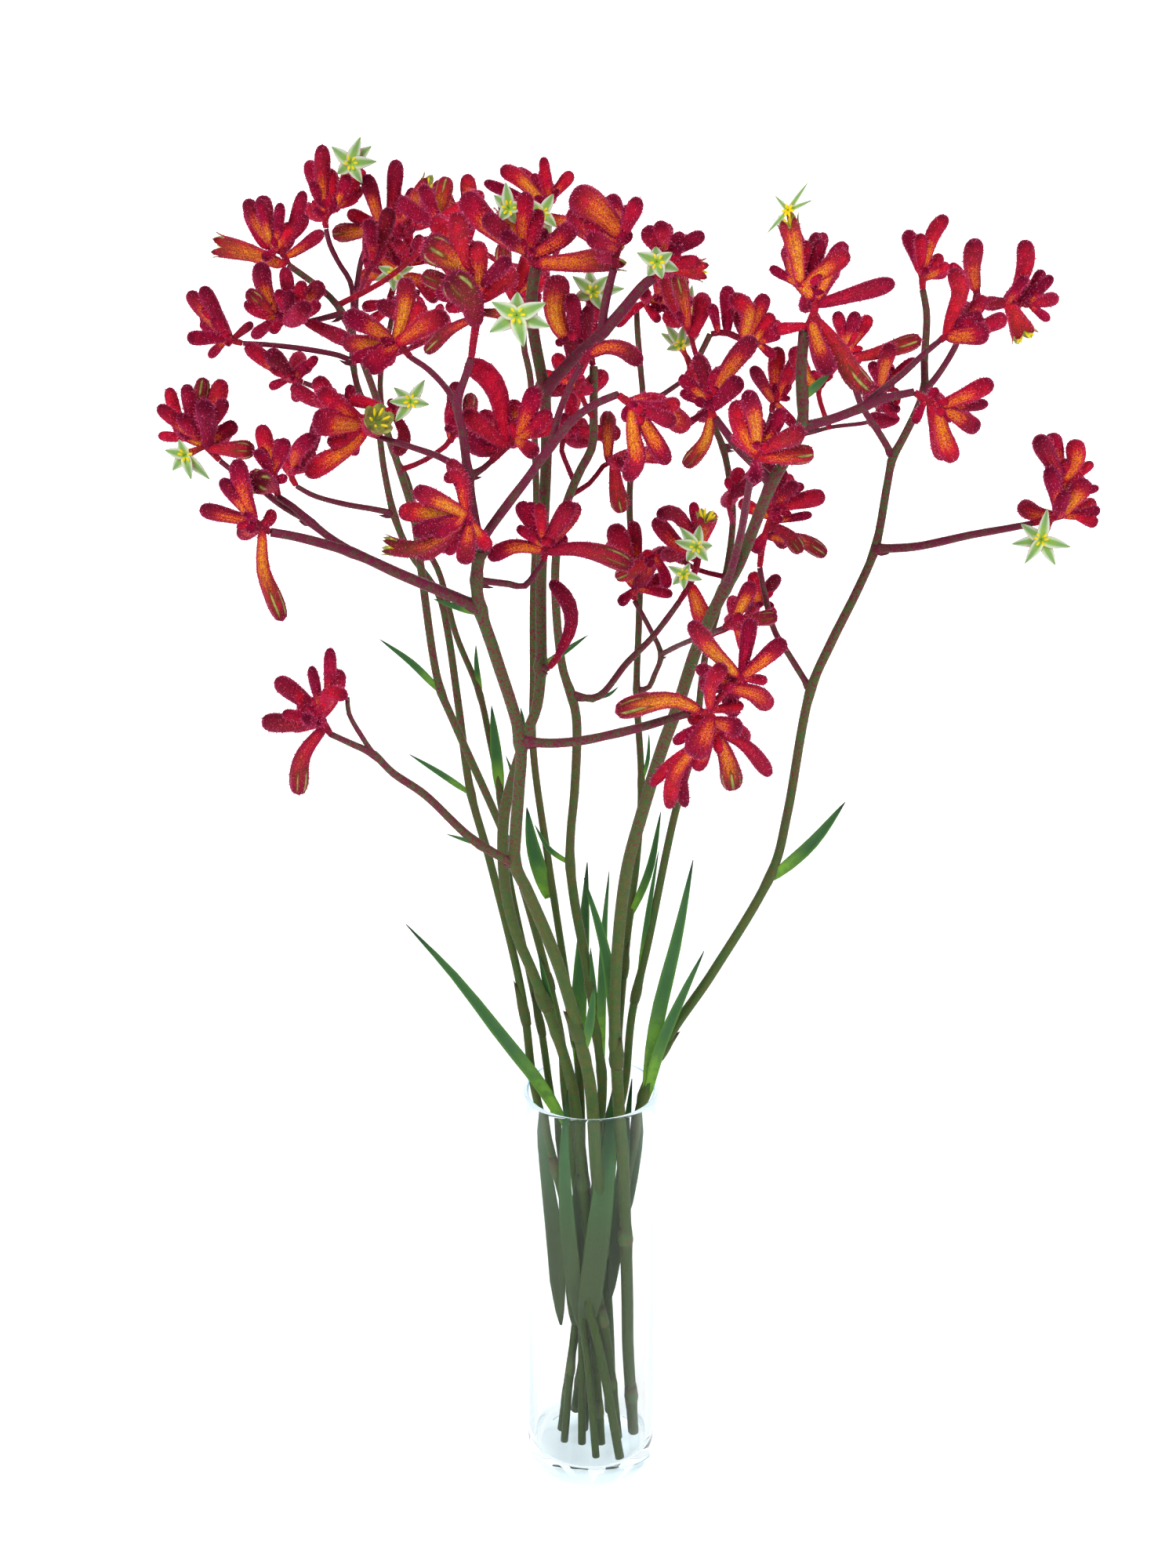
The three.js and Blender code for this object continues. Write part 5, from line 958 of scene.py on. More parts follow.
def joints(skin, foot, width, seed):
    """The swollen joints of a stem inside the vase, each with the short dry sleeve of a lost leaf."""
    rng = np.random.default_rng(SEEDS["joints"] + seed)
    found = []
    for start, end in zip(foot, foot[1:]):
        if length_of(end - start) < 40 or rng.random() < 0.35:
            continue
        way = unit(start - end)
        spot = end + (start - end) * rng.uniform(0.25, 0.75)
        line = Line([spot - way * 2, spot + way * 3, spot + way * rng.uniform(8, 14)])
        shares = np.array([0, 0.0, 0.12, 0.3, 0.55, 0.8, 1.0, 1.0])
        half = np.array([0, 0.9, 1.15, 1.22, 1.12, 1.06, 0.99, 0]) * width / 2
        looks = {"pale": 0.2, "ripe": rng.uniform(0.0, 0.25), "dark": 0.7 * ease(0.6, 1.0, shares)[:, None]}
        skin.wrap(line, shares, half, 12, looks=looks)
        found.append(spot)
    return found


def build_stem(number, name, stem):
    foot = [np.array(point, float) for point in stem["foot"]]
    foot[-1][2] = VASE_FLOOR + SEAT_GAP + FOOT_RISE * stem["width"][1]
    main = placed(stem["line"]) + foot
    branches = [placed(branch["line"]) for branch in stem["branches"]]
    leaves = [placed(blade["line"]) for blade in stem["leaves"]]
    knots = [points[0] for points in branches] + [points[-1] for points in leaves]
    skin = Skin()
    knots += joints(skin, foot, stem["width"][1], number)
    twig(skin, main, stem["width"], knots, 0.0, 0.8, 5.0, 12, number)
    for i, (branch, points) in enumerate(zip(stem["branches"], branches)):
        twig(skin, points, branch["width"], knots, 1.0, 1.0, 3.5, 10, number * 20 + i)
        bract(skin, points[0], unit(points[1] - points[0]), branch["width"][0] / 2)
    sheath(skin, main, stem["width"][1], number)
    for i, (blade, points) in enumerate(zip(stem["leaves"], leaves)):
        leaf(skin, blade["width"], points, number * 10 + i)
    for i, blade in enumerate(BLADES.get(name, [])):
        leaf(skin, blade["width"], placed(blade["line"]), number * 10 + 7 + i, root=0.15, fresh=0.3)
    piece = skin.piece(name + "_fine", [stem_skin(), leaf_skin()], "stem")
    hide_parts(name)
    return piece


# Heads of flowers

def nearest_on(lines, point):
    best = None
    for number, line in enumerate(lines):
        for i, end in enumerate(line[1:]):
            start = moved_on(line[0], line[1], RACHIS_RADIUS) if number == 0 and i == 0 else line[i]
            way = end - start
            spot = start + way * min(max(way.dot(point - start) / way.dot(way), 0), 1)
            if best is None or length_of(spot - point) < length_of(best - point):
                best = spot
    return best


def flower_line(flower, depth, index, lines):
    """The flower's middle line from its seat to its tip, and half its width in mm."""
    _, width, *rest = flower
    lean = rest.pop() if not isinstance(rest[-1], list) else None
    scale = mm_per_unit(rest[0], depth)
    seen = sum(scale * math.dist(a, b) for a, b in zip(rest, rest[1:]))
    unseen = math.sqrt(max(FLOWER["length"] ** 2 - seen ** 2, 0))
    hidden = min(FLOWER["max_lean"], FLOWER["hidden_share"] * unseen)
    share = FLOWER["small_lean_share"] if width < FLOWER["small_width"] else FLOWER["lean_share"]
    if lean is None:
        lean = (-1 if index % 2 == 0 else 1) * share * hidden
    last = len(rest) - 1
    points = [place(point, depth, lean * (last - i) / last) for i, point in enumerate(rest)][::-1]
    seat = nearest_on(lines, points[0])
    if length_of(seat - points[0]) > FLOWER["stalk"]:
        points = [seat, *points]
    else:
        points[0] = seat
    return Line(points), width * scale / 2


def flower_looks(form, width, shares, turn, rng):
    """How a flower glows, ripens and darkens along its length."""
    full = float(np.clip((width - 11) / 12, 0, 1))
    reach = 0.42 + 0.38 * full + rng.uniform(-0.08, 0.08)
    glow = rng.choice([0.35, 0.9, 1.3]) * ease(0.02, 0.14, shares)
    glow = glow * (1 - ease(reach - 0.32, reach + 0.12, shares))
    phase = rng.uniform(0, TURN)
    ripe = {"tiny": 0.0, "bud": rng.uniform(0, 0.4) * full, "dark": 0.7, "slit": rng.uniform(0.5, 0.85),
            "open": rng.uniform(0.5, 0.85), "cup": rng.uniform(0.5, 0.8)}[form]
    return {
        "glow": glow * (0.8 + 0.2 * np.cos(turn - phase)) * (0.15 if form == "dark" else 1.0),
        "ripe": ripe * (0.35 + 0.65 * ease(0.2, 0.75, shares)) + 0 * turn,
        "dark": 0.6 * ease(0.8, 1.0, shares) + (0.5 if form == "dark" else 0) + 0 * turn,
        "furry": (0.3 + 0.7 * ease(0.1, 0.4, shares)) + 0 * turn,
        "pale": np.zeros(np.broadcast(shares, turn).shape),
        "shade": rng.random(),
    }


def closed_flower(skin, form, width, line, half, rng):
    """A bud, or a flower whose tip has begun to split in pale slits."""
    split = form == "slit"
    sides = 24 if split else 8 if form == "tiny" else 10 if width < 16 else 12 if width < 24 else 14
    shares = np.array([share for share, _ in FORMS[form]])[:, None]
    wide = np.array([wide for _, wide in FORMS[form]])[:, None]
    turn = (np.arange(sides + 1) / sides * TURN)[None, :]
    looks = flower_looks(form, width, shares, turn, rng)
    radii = wide * half * (1 + 0.05 * np.cos(2 * turn + rng.uniform(0, 6)))
    if split:
        off = np.abs((turn / TURN * 6) % 1 - 0.5) * 2
        groove = (1 - ease(0.1, 0.5, off)) * ease(0.6, 0.72, shares) * (1 - ease(0.955, 1.0, shares))
        radii = radii * (1 - 0.13 * groove)
        split_open = rng.uniform(0.4, 1.0, 6)[((turn / TURN * 6).astype(int)) % 6]
        slit = (1 - ease(0.1, 0.5, off)) * ease(0.56, 0.76, shares)
        looks["pale"] = slit * (1 - ease(0.92, 0.98, shares)) * split_open
        looks["furry"] = looks["furry"] - 0.9 * looks["pale"]
    # Painted light and shade: the glow is kept to the sides that face the front and the back, and the edges
    # seen from the front are darkened.
    painted_front_light = glow_strip(line, shares, turn)
    looks["glow"] = looks["glow"] * painted_front_light
    looks["dark"] = np.clip(looks["dark"] + 0.35 * (1 - painted_front_light) * (1 - looks["pale"]), 0, 0.85)
    skin.wrap(line, shares + 0 * turn, radii, sides, looks=looks)


def glow_strip(line, shares, turn):
    """Painted light: the glow is strongest on the sides of a flower that face the front and the back, and
    fades towards its edges as seen from the front.
    """
    shares = np.broadcast_to(shares, np.broadcast(shares, turn).shape)
    sideways, deep = line.at(shares, line.sides)[..., 1], line.at(shares, line.deeps)[..., 1]
    broad = sideways * np.cos(turn) + deep * np.sin(turn)
    return 0.1 + 0.9 * np.abs(broad) ** 2.0


def open_flower(skin, form, width, line, half, rng):
    """A flower whose mouth has opened: a tube, six short lobes that bend outwards, and its pale inside."""
    sides = 24
    turn = (np.arange(sides + 1) / sides * TURN)[None, :]
    lobe = np.abs(np.cos(3 * turn))
    mouth = 0.83 if form == "cup" else 0.86
    reach = 1 - mouth
    shares = [share + 0 * turn for share, _ in FORMS[form]]
    radii = [wide + 0 * turn for _, wide in FORMS[form]]
    rim = 1.0 if form == "cup" else 1.02
    for share, wide in ((0.35, 0.03), (0.75, 0.1), (1.0, 0.2)):
        shares.append(mouth + reach * share * lobe)
        radii.append(rim + wide * lobe)
    inner = len(shares)
    for share, wide in ((0.97, 0.14), (0.7, 0.0), (0.3, -0.09), (-0.3, -0.16), (-0.9, -0.3), (-1.4, -0.55)):
        shares.append(mouth + reach * share * (lobe if share > 0 else 1) + 0 * turn)
        radii.append(np.maximum(rim + wide * (lobe if wide > 0 else 1), 0.05) + 0 * turn)
    shares.append(mouth - 1.5 * reach + 0 * turn)
    radii.append(0 * turn)
    shares, radii = np.concatenate(shares), np.concatenate(radii) * half
    looks = flower_looks(form, width, shares, turn, rng)
    inside = np.zeros(len(shares))
    inside[inner:] = 1.0
    looks["pale"] = inside[:, None] * np.ones_like(turn)
    looks["pale"][inner - 1] = 0.6
    # Painted light: the glow is kept to the sides that face the front and the back.
    looks["glow"] = looks["glow"] * (1 - looks["pale"]) * glow_strip(line, shares, turn)
    looks["dark"] = ease(0.88, 1.0, shares) * (1 - looks["pale"]) * 0.9
    looks["furry"] = (1 - inside)[:, None] * np.ones_like(turn)
    skin.wrap(line, shares, radii, sides, looks=looks)
    centre = line.at(np.array([mouth - 0.1 * reach]))[0]
    way = line.at(np.array([mouth]), line.ways)[0]
    add_anthers(skin, centre, unit(way), half * 0.45, 5.5 if form == "cup" else 4.5, rng, 6)


def add_anthers(skin, centre, way, spread, length, rng, count):
    """Yellow anthers on short stalks, fanned round the middle of an open flower."""
    side = np.cross(way, (0.0, 0.0, 1.0))
    side = unit(side) if length_of(side) > 0.2 else np.array([1.0, 0.0, 0.0])
    deep = np.cross(way, side)
    for i in range(count):
        angle = TURN * (i + rng.uniform(-0.2, 0.2)) / count
        out = side * math.cos(angle) + deep * math.sin(angle)
        root = centre - way * 4.0 + out * spread * 0.5
        heart = centre + out * spread * 0.8 - way * 0.5
        tip = heart + unit(out * 0.55 + way) * length
        line = Line([root, heart, tip])
        shares = np.array([0, 0.0, 0.3, 0.44, 0.5, 0.62, 0.78, 0.92, 1.0])
        half = np.array([0, 0.22, 0.22, 0.24, 0.5, 0.62, 0.6, 0.42, 0])
        skin.wrap(line, shares, half, 6, material=2,
                  looks={"glow": ease(0.4, 0.55, shares)[:, None], "shade": rng.random()})


def star_flower(skin, flower, depth, lines, rng):
    """A wide open flower seen from its mouth: a short tube, a green throat and pointed pale lobes."""
    _, lobe_width, middle, root, tips, *given = flower
    lean = given[0] if given else STAR["lean"]
    centre = place(middle, depth, lean)
    base = nearest_on(lines, place(root, depth))
    half = lobe_width * mm_per_unit(middle, depth) / 2 * 0.9
    mouth = half * STAR["throat"]
    facing = unit(np.array([EYE["x"], EYE["y"], EYE["z"]]) - centre)
    behind = centre - facing * min(6.0, 0.5 * length_of(centre - base))
    tube = Line([base, behind, centre])
    sides = 24
    turn = (np.arange(sides + 1) / sides * TURN)[None, :]
    shares = np.array([share for share, _ in FORMS["star"]])[:, None] + 0 * turn
    radii = np.array([wide for _, wide in FORMS["star"]])[:, None] * mouth * (1 + 0 * turn)
    inside = np.array([0] * 7 + [0.7] + [1] * 5, float)[:, None] + 0 * turn
    looks = {"glow": 0.5 * ease(0.1, 0.4, shares) * (1 - inside), "ripe": 0.8 * (1 - inside), "dark": 0.0,
             "pale": inside, "furry": 1 - inside, "shade": rng.random()}
    skin.wrap(tube, shares, radii, sides, looks=looks)
    lobe_sides = 10
    around = (np.arange(lobe_sides + 1) / lobe_sides * TURN)[None, :]
    for i, tip in enumerate(tips):
        end = place(tip, depth, lean + (-1 if i % 2 == 0 else 1) * STAR["stagger"])
        out = unit(end - centre)
        start = centre + out * mouth * 0.12 + facing * 0.2
        bulge = start + (end - start) * 0.55 + facing * rng.uniform(0.6, 1.4)
        line = Line([start, bulge, end])
        shares = np.array([0, 0.0, 0.12, 0.26, 0.4, 0.54, 0.68, 0.8, 0.9, 0.97, 1.0])
        wide = np.array([0, 0.75, 0.96, 1.08, 1.04, 0.9, 0.68, 0.46, 0.26, 0.1, 0])[:, None] * half
        flat = np.where(wide > 0, 0.32 / np.maximum(wide, 0.2), 0) + 0 * around
        deep = line.at(shares, line.deeps)
        towards = 1.0 if float(deep[4].dot(facing)) > 0 else -1.0
        fold = towards * 0.22 * wide[..., None] * np.abs(np.cos(around))[..., None] * deep[:, None, :]
        front = ease(-0.2, 0.2, towards * np.sin(around)) + 0 * wide
        looks = {"glow": ease(0.1, 0.6, shares)[:, None] + 0 * around, "pale": front,
                 "ripe": np.abs(np.cos(around)) ** 3 + 0 * wide,
                 "dark": ease(0.88, 1.0, shares)[:, None] + 0 * around,
                 "furry": 0.5 * (1 - front), "shade": rng.random()}
        skin.wrap(line, shares, wide + 0 * around, lobe_sides, material=1, flat=flat, looks=looks,
                  shift=fold)
    add_anthers(skin, centre, facing, mouth * 0.5, 4.6, rng, 6)


# Young flowers: length and width in mm, how far they turn to the back, and the picture width they count as
GROWTH = {
    "grown": {"long": (21, 29), "wide": (7.5, 9.5), "back": 0.75, "width": 22},
    "half": {"long": (13, 20), "wide": (5.4, 7.2), "back": 0.6, "width": 15},
    "tiny": {"long": (5, 10), "wide": (3.2, 4.6), "back": 0.0, "width": 10},
}


def young_bud(skin, form, growth, root, way, rng):
    """One flower that grows from its root about the given way."""
    size = GROWTH[growth]
    forward = 0.9 if growth == "tiny" else 0.7
    out = unit(unit(rng.normal(0, 1, 3)) + way * forward + (0, size["back"], 0.05))
    long, wide = rng.uniform(*size["long"]), rng.uniform(*size["wide"])
    middle = root + out * long * 0.5 + rng.normal(0, 0.05, 3) * long
    bent = Line([root - out, middle, root + out * long + way * long * 0.12])
    closed_flower(skin, form, size["width"], bent, wide / 2, rng)


def young_buds(skin, lines, way, count, rng):
    """More flowers all round the head's axes: grown ones, smaller ones and tiny buds."""
    kinds = ["grown"] * round(0.4 * count) + ["half"] * round(0.6 * count) + ["tiny"] * 6
    for i, growth in enumerate(kinds):
        line = lines[i % len(lines)]
        root = line[-2] + (line[-1] - line[-2]) * rng.uniform(0.2 if growth == "tiny" else -0.1, 1.0)
        young_bud(skin, "tiny" if growth == "tiny" else "bud", growth, root, way, rng)


def stem_points_all():
    """Points along every stem and branch, to hang the small sprays on."""
    lines = [placed(stem["line"]) for stem in STEMS.values()]
    lines += [placed(branch["line"]) for stem in STEMS.values() for branch in stem["branches"]]
    return np.concatenate([Line(points).points for points in lines])


def build_spray(number, spray, holds):
    """A thin branch from the nearest stem to the spray's own short axis, with its flowers and buds."""
    rng = np.random.default_rng(SEEDS["spray"] + number)
    across, down, depth = spray["at"]
    seat = place((across, down), depth)
    ahead = place((across + spray["way"][0], down + spray["way"][1]), depth)
    way = unit(ahead - seat)
    cost = np.linalg.norm(holds - seat, axis=1) + 0.8 * np.maximum(holds[:, 2] - seat[2] + 15, 0)
    start = holds[int(np.argmin(cost))]
    middle = (start + seat) / 2 - np.array([0, 0, 0.08]) * length_of(seat - start)
    end = seat + way * 9
    skin = Skin()
    branch = Line([start, middle, seat, end])
    shares = np.array([0, 0.0, 0.08, 0.2, 0.35, 0.5, 0.65, 0.8, 0.92, 1.0])
    half = np.array([0, 1.5, 1.45, 1.35, 1.3, 1.3, 1.35, 1.6, 1.3, 0])
    looks = {"ripe": 0.45, "dark": 0.3, "furry": 0.8, "shade": rng.random()}
    skin.wrap(branch, shares, half, 8, looks=looks)
    for i in range(spray["flowers"]):
        growth = "grown" if i < spray["flowers"] * 0.6 else "half"
        form = rng.choice(["bud", "bud", "bud", "slit", "dark"]) if growth == "grown" else "bud"
        young_bud(skin, str(form), growth, seat + (end - seat) * rng.uniform(-0.2, 1.0), way, rng)
    for _ in range(4):
        young_bud(skin, "tiny", "tiny", seat + (end - seat) * rng.uniform(0.3, 1.0), way, rng)
    return skin.piece(f"spray_{number:02d}", [petal_velvet()], "flower")


def build_head(number, name, head):
    rng = np.random.default_rng(SEEDS["head"] + number)
    depth = head["depth"]
    lines = [[place(point, depth) for point in line] for line in head["rachis"]]
    skin = Skin()
    for i, line in enumerate(lines):
        start = moved_on(line[0], line[1], SEAT_GAP) if i == 0 else line[0]
        end = moved_on(line[-1], line[-2], -RACHIS_RADIUS)
        axis = Line([start, *line[1:-1], end])
        shares = np.array([0, 0.0, 0.04, 0.15, 0.3, 0.45, 0.6, 0.75, 0.88, 0.96, 1.0])
        half = np.array([0, 1.35, 1.5, 1.6, 1.75, 1.65, 1.8, 1.6, 1.4, 0.9, 0])
        looks = {"ripe": 0.3, "glow": 0.15, "dark": 0.25, "furry": 1.0, "shade": rng.random()}
        skin.wrap(axis, shares, half, 12, looks=looks)
    ways = []
    for i, flower in enumerate(head["flowers"]):
        if flower[0] == "star":
            star_flower(skin, flower, depth, lines, rng)
            continue
        line, half = flower_line(flower, depth, i, lines)
        ways.append(line.points[-1] - line.points[0])
        make = open_flower if flower[0] in ("open", "cup") else closed_flower
        make(skin, flower[0], flower[1], line, half, rng)
    if len(ways) > 2:
        young_buds(skin, lines, unit(sum(ways)), len(ways), rng)
    for flower in head.get("late", []):
        star_flower(skin, flower, depth, lines, rng)
    piece = skin.piece(name + "_fine", [petal_velvet(), star_lobe(), anther_yellow()], "flower")
    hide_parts(name)
    return piece


# Materials

def add(tree, kind, sockets=None, **settings):
    """A shader node with its settings and its sockets, each a value or the socket that feeds it."""
    node = tree.nodes.new("ShaderNode" + kind)
    for key, value in settings.items():
        setattr(node, key, value)
    for socket, value in (sockets or {}).items():
        if isinstance(value, bpy.types.NodeSocket):
            tree.links.new(value, node.inputs[socket])
        else:
            node.inputs[socket].default_value = value
    return node


def mixed(tree, factor, first, second):
    """The second colour laid over the first by a factor."""
    node = add(tree, "Mix", data_type="RGBA", clamp_factor=True)
    for index, value in ((0, factor), (6, first), (7, second)):
        if isinstance(value, bpy.types.NodeSocket):
            tree.links.new(value, node.inputs[index])
        elif index == 0:
            node.inputs[index].default_value = value
        else:
            node.inputs[index].default_value = (*value, 1.0)
    return node.outputs[2]


def math_node(tree, operation, *values, clamp=False):
    node = add(tree, "Math", dict(enumerate(values)), operation=operation, use_clamp=clamp)
    return node.outputs[0]


def eased(tree, value, low, high, to_low=0.0, to_high=1.0):
    sockets = {"Value": value, "From Min": low, "From Max": high, "To Min": to_low, "To Max": to_high}
    return add(tree, "MapRange", sockets, interpolation_type="SMOOTHSTEP").outputs["Result"]


def kept(tree, name):
    """A value that the mesh keeps at its corners."""
    return add(tree, "Attribute", attribute_name=name).outputs["Fac"]


def group(name, inputs, build):
    """A node group that puts out one mask, built once."""
    if name in bpy.data.node_groups:
        return bpy.data.node_groups[name]
    tree = bpy.data.node_groups.new(name, "ShaderNodeTree")
    for socket, value in inputs.items():
        made = tree.interface.new_socket(socket, in_out="INPUT", socket_type="NodeSocketFloat")
        made.default_value = value
    tree.interface.new_socket("Mask", in_out="OUTPUT", socket_type="NodeSocketFloat")
    entry = tree.nodes.new("NodeGroupInput")
    leave = tree.nodes.new("NodeGroupOutput")
    tree.links.new(build(tree, entry.outputs), leave.inputs["Mask"])
    return tree


def placed_group(tree, made, **sockets):
    node = tree.nodes.new("ShaderNodeGroup")
    node.node_tree = made
    for socket, value in sockets.items():
        if isinstance(value, bpy.types.NodeSocket):
            tree.links.new(value, node.inputs[socket])
        else:
            node.inputs[socket].default_value = value
    return node.outputs["Mask"]


def mottle(tree, scale, low=0.35, high=0.65):
    """Soft uneven patches, in patches per metre."""
    def build(inner, given):
        spot = add(inner, "TexCoord").outputs["Object"]
        sockets = {"Vector": spot, "Scale": given["Scale"], "Detail": 3.0, "Roughness": 0.6}
        noise = add(inner, "TexNoise", sockets)
        sockets = {"Value": noise.outputs["Fac"], "From Min": given["Low"], "From Max": given["High"]}
        return add(inner, "MapRange", sockets, interpolation_type="SMOOTHSTEP").outputs["Result"]
    made = group("Mottle", {"Scale": 500.0, "Low": 0.35, "High": 0.65}, build)
    return placed_group(tree, made, Scale=scale, Low=low, High=high)


def ridges(tree, value, count, wander=1.5, scale=400.0):
    """Fine wavering ridges across the way that the value grows."""
    def build(inner, given):
        spot = add(inner, "TexCoord").outputs["Object"]
        sockets = {"Vector": spot, "Scale": given["Scale"], "Detail": 2.0}
        noise = add(inner, "TexNoise", sockets).outputs["Fac"]
        wave = math_node(inner, "MULTIPLY_ADD", given["Value"], given["Count"], 0.0)
        wave = math_node(inner, "MULTIPLY_ADD", noise, given["Wander"], wave)
        return math_node(inner, "MULTIPLY_ADD", math_node(inner, "SINE", wave), 0.5, 0.5)
    made = group("Ridges", {"Value": 0.0, "Count": 100.0, "Wander": 1.5, "Scale": 400.0}, build)
    return placed_group(tree, made, Value=value, Count=count, Wander=wander, Scale=scale)


def surface(name, **sockets):
    """A new material with its tree and its shader, whose own sockets take the given values."""
    material = bpy.data.materials.new(name)
    material.use_nodes = True
    shader = material.node_tree.nodes["Principled BSDF"]
    for socket, value in sockets.items():
        shader.inputs[socket.replace("_", " ")].default_value = value
    return material, material.node_tree, shader


def once(make):
    """Keeps a material that is made the first time it is asked for."""
    def ask():
        found = bpy.data.materials.get(make.__name__)
        return found or make(make.__name__)
    return ask


def skin_value(tree, axis):
    """Where a spot lies on its skin: X grows round it, Y along it, each from 0 to 1."""
    uv = add(tree, "UVMap", uv_map="Skin").outputs["UV"]
    return add(tree, "SeparateXYZ", {"Vector": uv}).outputs[axis]


def above_floor(tree):
    """The height of a spot above the floor, in metres."""
    spot = add(tree, "TexCoord").outputs["Object"]
    return add(tree, "SeparateXYZ", {"Vector": spot}).outputs["Z"]


def glowing(tree, shader, colour):
    """Gives a colour to the surface and to its own faint light."""
    for socket in ("Base Color", "Emission Color"):
        tree.links.new(colour, shader.inputs[socket])


def relief(tree, shader, height, strength, distance):
    bump = add(tree, "Bump", {"Height": height, "Strength": strength, "Distance": distance})
    tree.links.new(bump.outputs["Normal"], shader.inputs["Normal"])


@once
def petal_velvet(name):
    looks = bpy.context.scene.paw_flowers
    material, tree, shader = surface(name, Sheen_Weight=0.8, Sheen_Roughness=0.35, Specular_IOR_Level=0.06,
                                     Sheen_Tint=(0.95, 0.1, 0.36, 1.0), Emission_Strength=0.12)
    link = tree.links.new
    ribs = ridges(tree, skin_value(tree, "X"), 14 * TURN, 5.0, 330.0)
    patches = mottle(tree, 300.0)
    grain = mottle(tree, 1900.0, 0.38, 0.62)
    shade = kept(tree, "shade")
    deep = mixed(tree, eased(tree, shade, 0.35, 1.0), looks.crimson, looks.scarlet)
    deep = mixed(tree, eased(tree, shade, 0.4, 0.0, 0.0, 0.6), deep, looks.maroon)
    deep = mixed(tree, math_node(tree, "MULTIPLY", patches, 0.45), deep, looks.maroon)
    glow = math_node(tree, "MULTIPLY", kept(tree, "glow"), eased(tree, ribs, 0.0, 1.0, 0.75, 1.0))
    glow = math_node(tree, "MULTIPLY", glow, eased(tree, grain, 0.0, 1.0, 1.08, 0.55), clamp=True)
    ember = mixed(tree, eased(tree, glow, 0.2, 0.6), looks.scarlet, looks.orange)
    ember = mixed(tree, eased(tree, glow, 0.6, 1.0), ember, looks.gold)
    colour = mixed(tree, eased(tree, glow, 0.08, 0.5), deep, ember)
    ripe = math_node(tree, "MULTIPLY", kept(tree, "ripe"), eased(tree, patches, 0.0, 1.0, 0.6, 1.0))
    aged = mixed(tree, glow, looks.umber, looks.ochre)
    colour = mixed(tree, ripe, colour, aged)
    colour = mixed(tree, math_node(tree, "MULTIPLY", grain, 0.42), colour, looks.maroon)
    # Fine specks of the hairs' magenta, partly a painted sparkle of hairs catching the light.
    fuzz = mottle(tree, 2300.0, 0.54, 0.66)
    colour = mixed(tree, math_node(tree, "MULTIPLY", fuzz, 0.6), colour, looks.magenta)
    # Darker tips and dark flowers, and on closed flowers also painted shade at the edges seen from the
    # front.
    colour = mixed(tree, kept(tree, "dark"), colour, looks.maroon)
    inner = mixed(tree, patches, looks.pale, [0.5 * c for c in looks.pale])
    pale = kept(tree, "pale")
    edge = math_node(tree, "MULTIPLY", eased(tree, pale, 0.02, 0.25), eased(tree, pale, 0.6, 0.3))
    colour = mixed(tree, math_node(tree, "MULTIPLY", edge, 0.8), colour, looks.umber)
    colour = mixed(tree, eased(tree, pale, 0.3, 0.7), colour, inner)
    link(colour, shader.inputs["Base Color"])
    # Painted glow: the orange middle and the pale slits and insides give off a faint light of their own.
    lit = mixed(tree, math_node(tree, "MAXIMUM", glow, pale), (0.0, 0.0, 0.0), colour)
    link(lit, shader.inputs["Emission Color"])
    height = math_node(tree, "MULTIPLY_ADD", ribs, 0.6, math_node(tree, "MULTIPLY", grain, 0.5))
    relief(tree, shader, height, 0.5, 0.0005)
    link(eased(tree, grain, 0.0, 1.0, 0.55, 0.85), shader.inputs["Roughness"])
    return material


@once
def hair_velvet(name):
    looks = bpy.context.scene.paw_flowers
    material, tree, shader = surface(name, Roughness=0.6, Specular_IOR_Level=0.2, Emission_Strength=0.5)
    tone, height = kept(tree, "tone"), kept(tree, "height")
    root = mixed(tree, tone, looks.crimson, looks.magenta)
    tip = mixed(tree, tone, looks.magenta, looks.pink)
    colour = mixed(tree, eased(tree, height, 0.1, 1.0), root, tip)
    tree.links.new(colour, shader.inputs["Base Color"])
    # Painted glow: the hairs give off a faint light of their own, growing towards their tips.
    tree.links.new(mixed(tree, height, (0.0, 0.0, 0.0), colour), shader.inputs["Emission Color"])
    return material


@once
def hair_stem(name):
    looks = bpy.context.scene.paw_stems
    material, tree, shader = surface(name, Roughness=0.5)
    colour = mixed(tree, kept(tree, "tone"), looks.purple, looks.hair)
    colour = mixed(tree, eased(tree, kept(tree, "height"), 0.2, 1.0), colour, looks.hair)
    tree.links.new(colour, shader.inputs["Base Color"])
    return material


@once
def stem_skin(name):
    looks = bpy.context.scene.paw_stems
    material, tree, shader = surface(name, Sheen_Weight=0.08, Sheen_Roughness=0.4, Specular_IOR_Level=0.14,
                                     Sheen_Tint=(0.8, 0.4, 0.5, 1.0))
    link = tree.links.new
    streaks = ridges(tree, skin_value(tree, "X"), 5 * TURN, 9.0, 90.0)
    patches = mottle(tree, 260.0)
    specks = mottle(tree, 850.0, 0.49, 0.57)
    green = mixed(tree, patches, looks.green, looks.olive)
    green = mixed(tree, kept(tree, "pale"), green, looks.wet)
    brown = mixed(tree, math_node(tree, "MULTIPLY", streaks, 0.7), looks.brown, looks.purple)
    uneven = math_node(tree, "MULTIPLY_ADD", patches, 0.5, -0.35)
    ripe = math_node(tree, "MULTIPLY_ADD", kept(tree, "ripe"), 1.05, uneven)
    colour = mixed(tree, eased(tree, ripe, 0.0, 1.0), green, brown)
    flecks = math_node(tree, "MULTIPLY", specks, eased(tree, kept(tree, "furry"), 0.0, 1.0, 0.14, 0.9))
    colour = mixed(tree, flecks, colour, looks.purple)
    colour = mixed(tree, kept(tree, "dark"), colour, [0.4 * c for c in looks.brown])
    link(colour, shader.inputs["Base Color"])
    height = math_node(tree, "MULTIPLY_ADD", specks, 0.7, math_node(tree, "MULTIPLY", patches, 0.6))
    relief(tree, shader, height, 0.4, 0.0004)
    link(eased(tree, specks, 0.0, 1.0, 0.45, 0.7), shader.inputs["Roughness"])
    return material


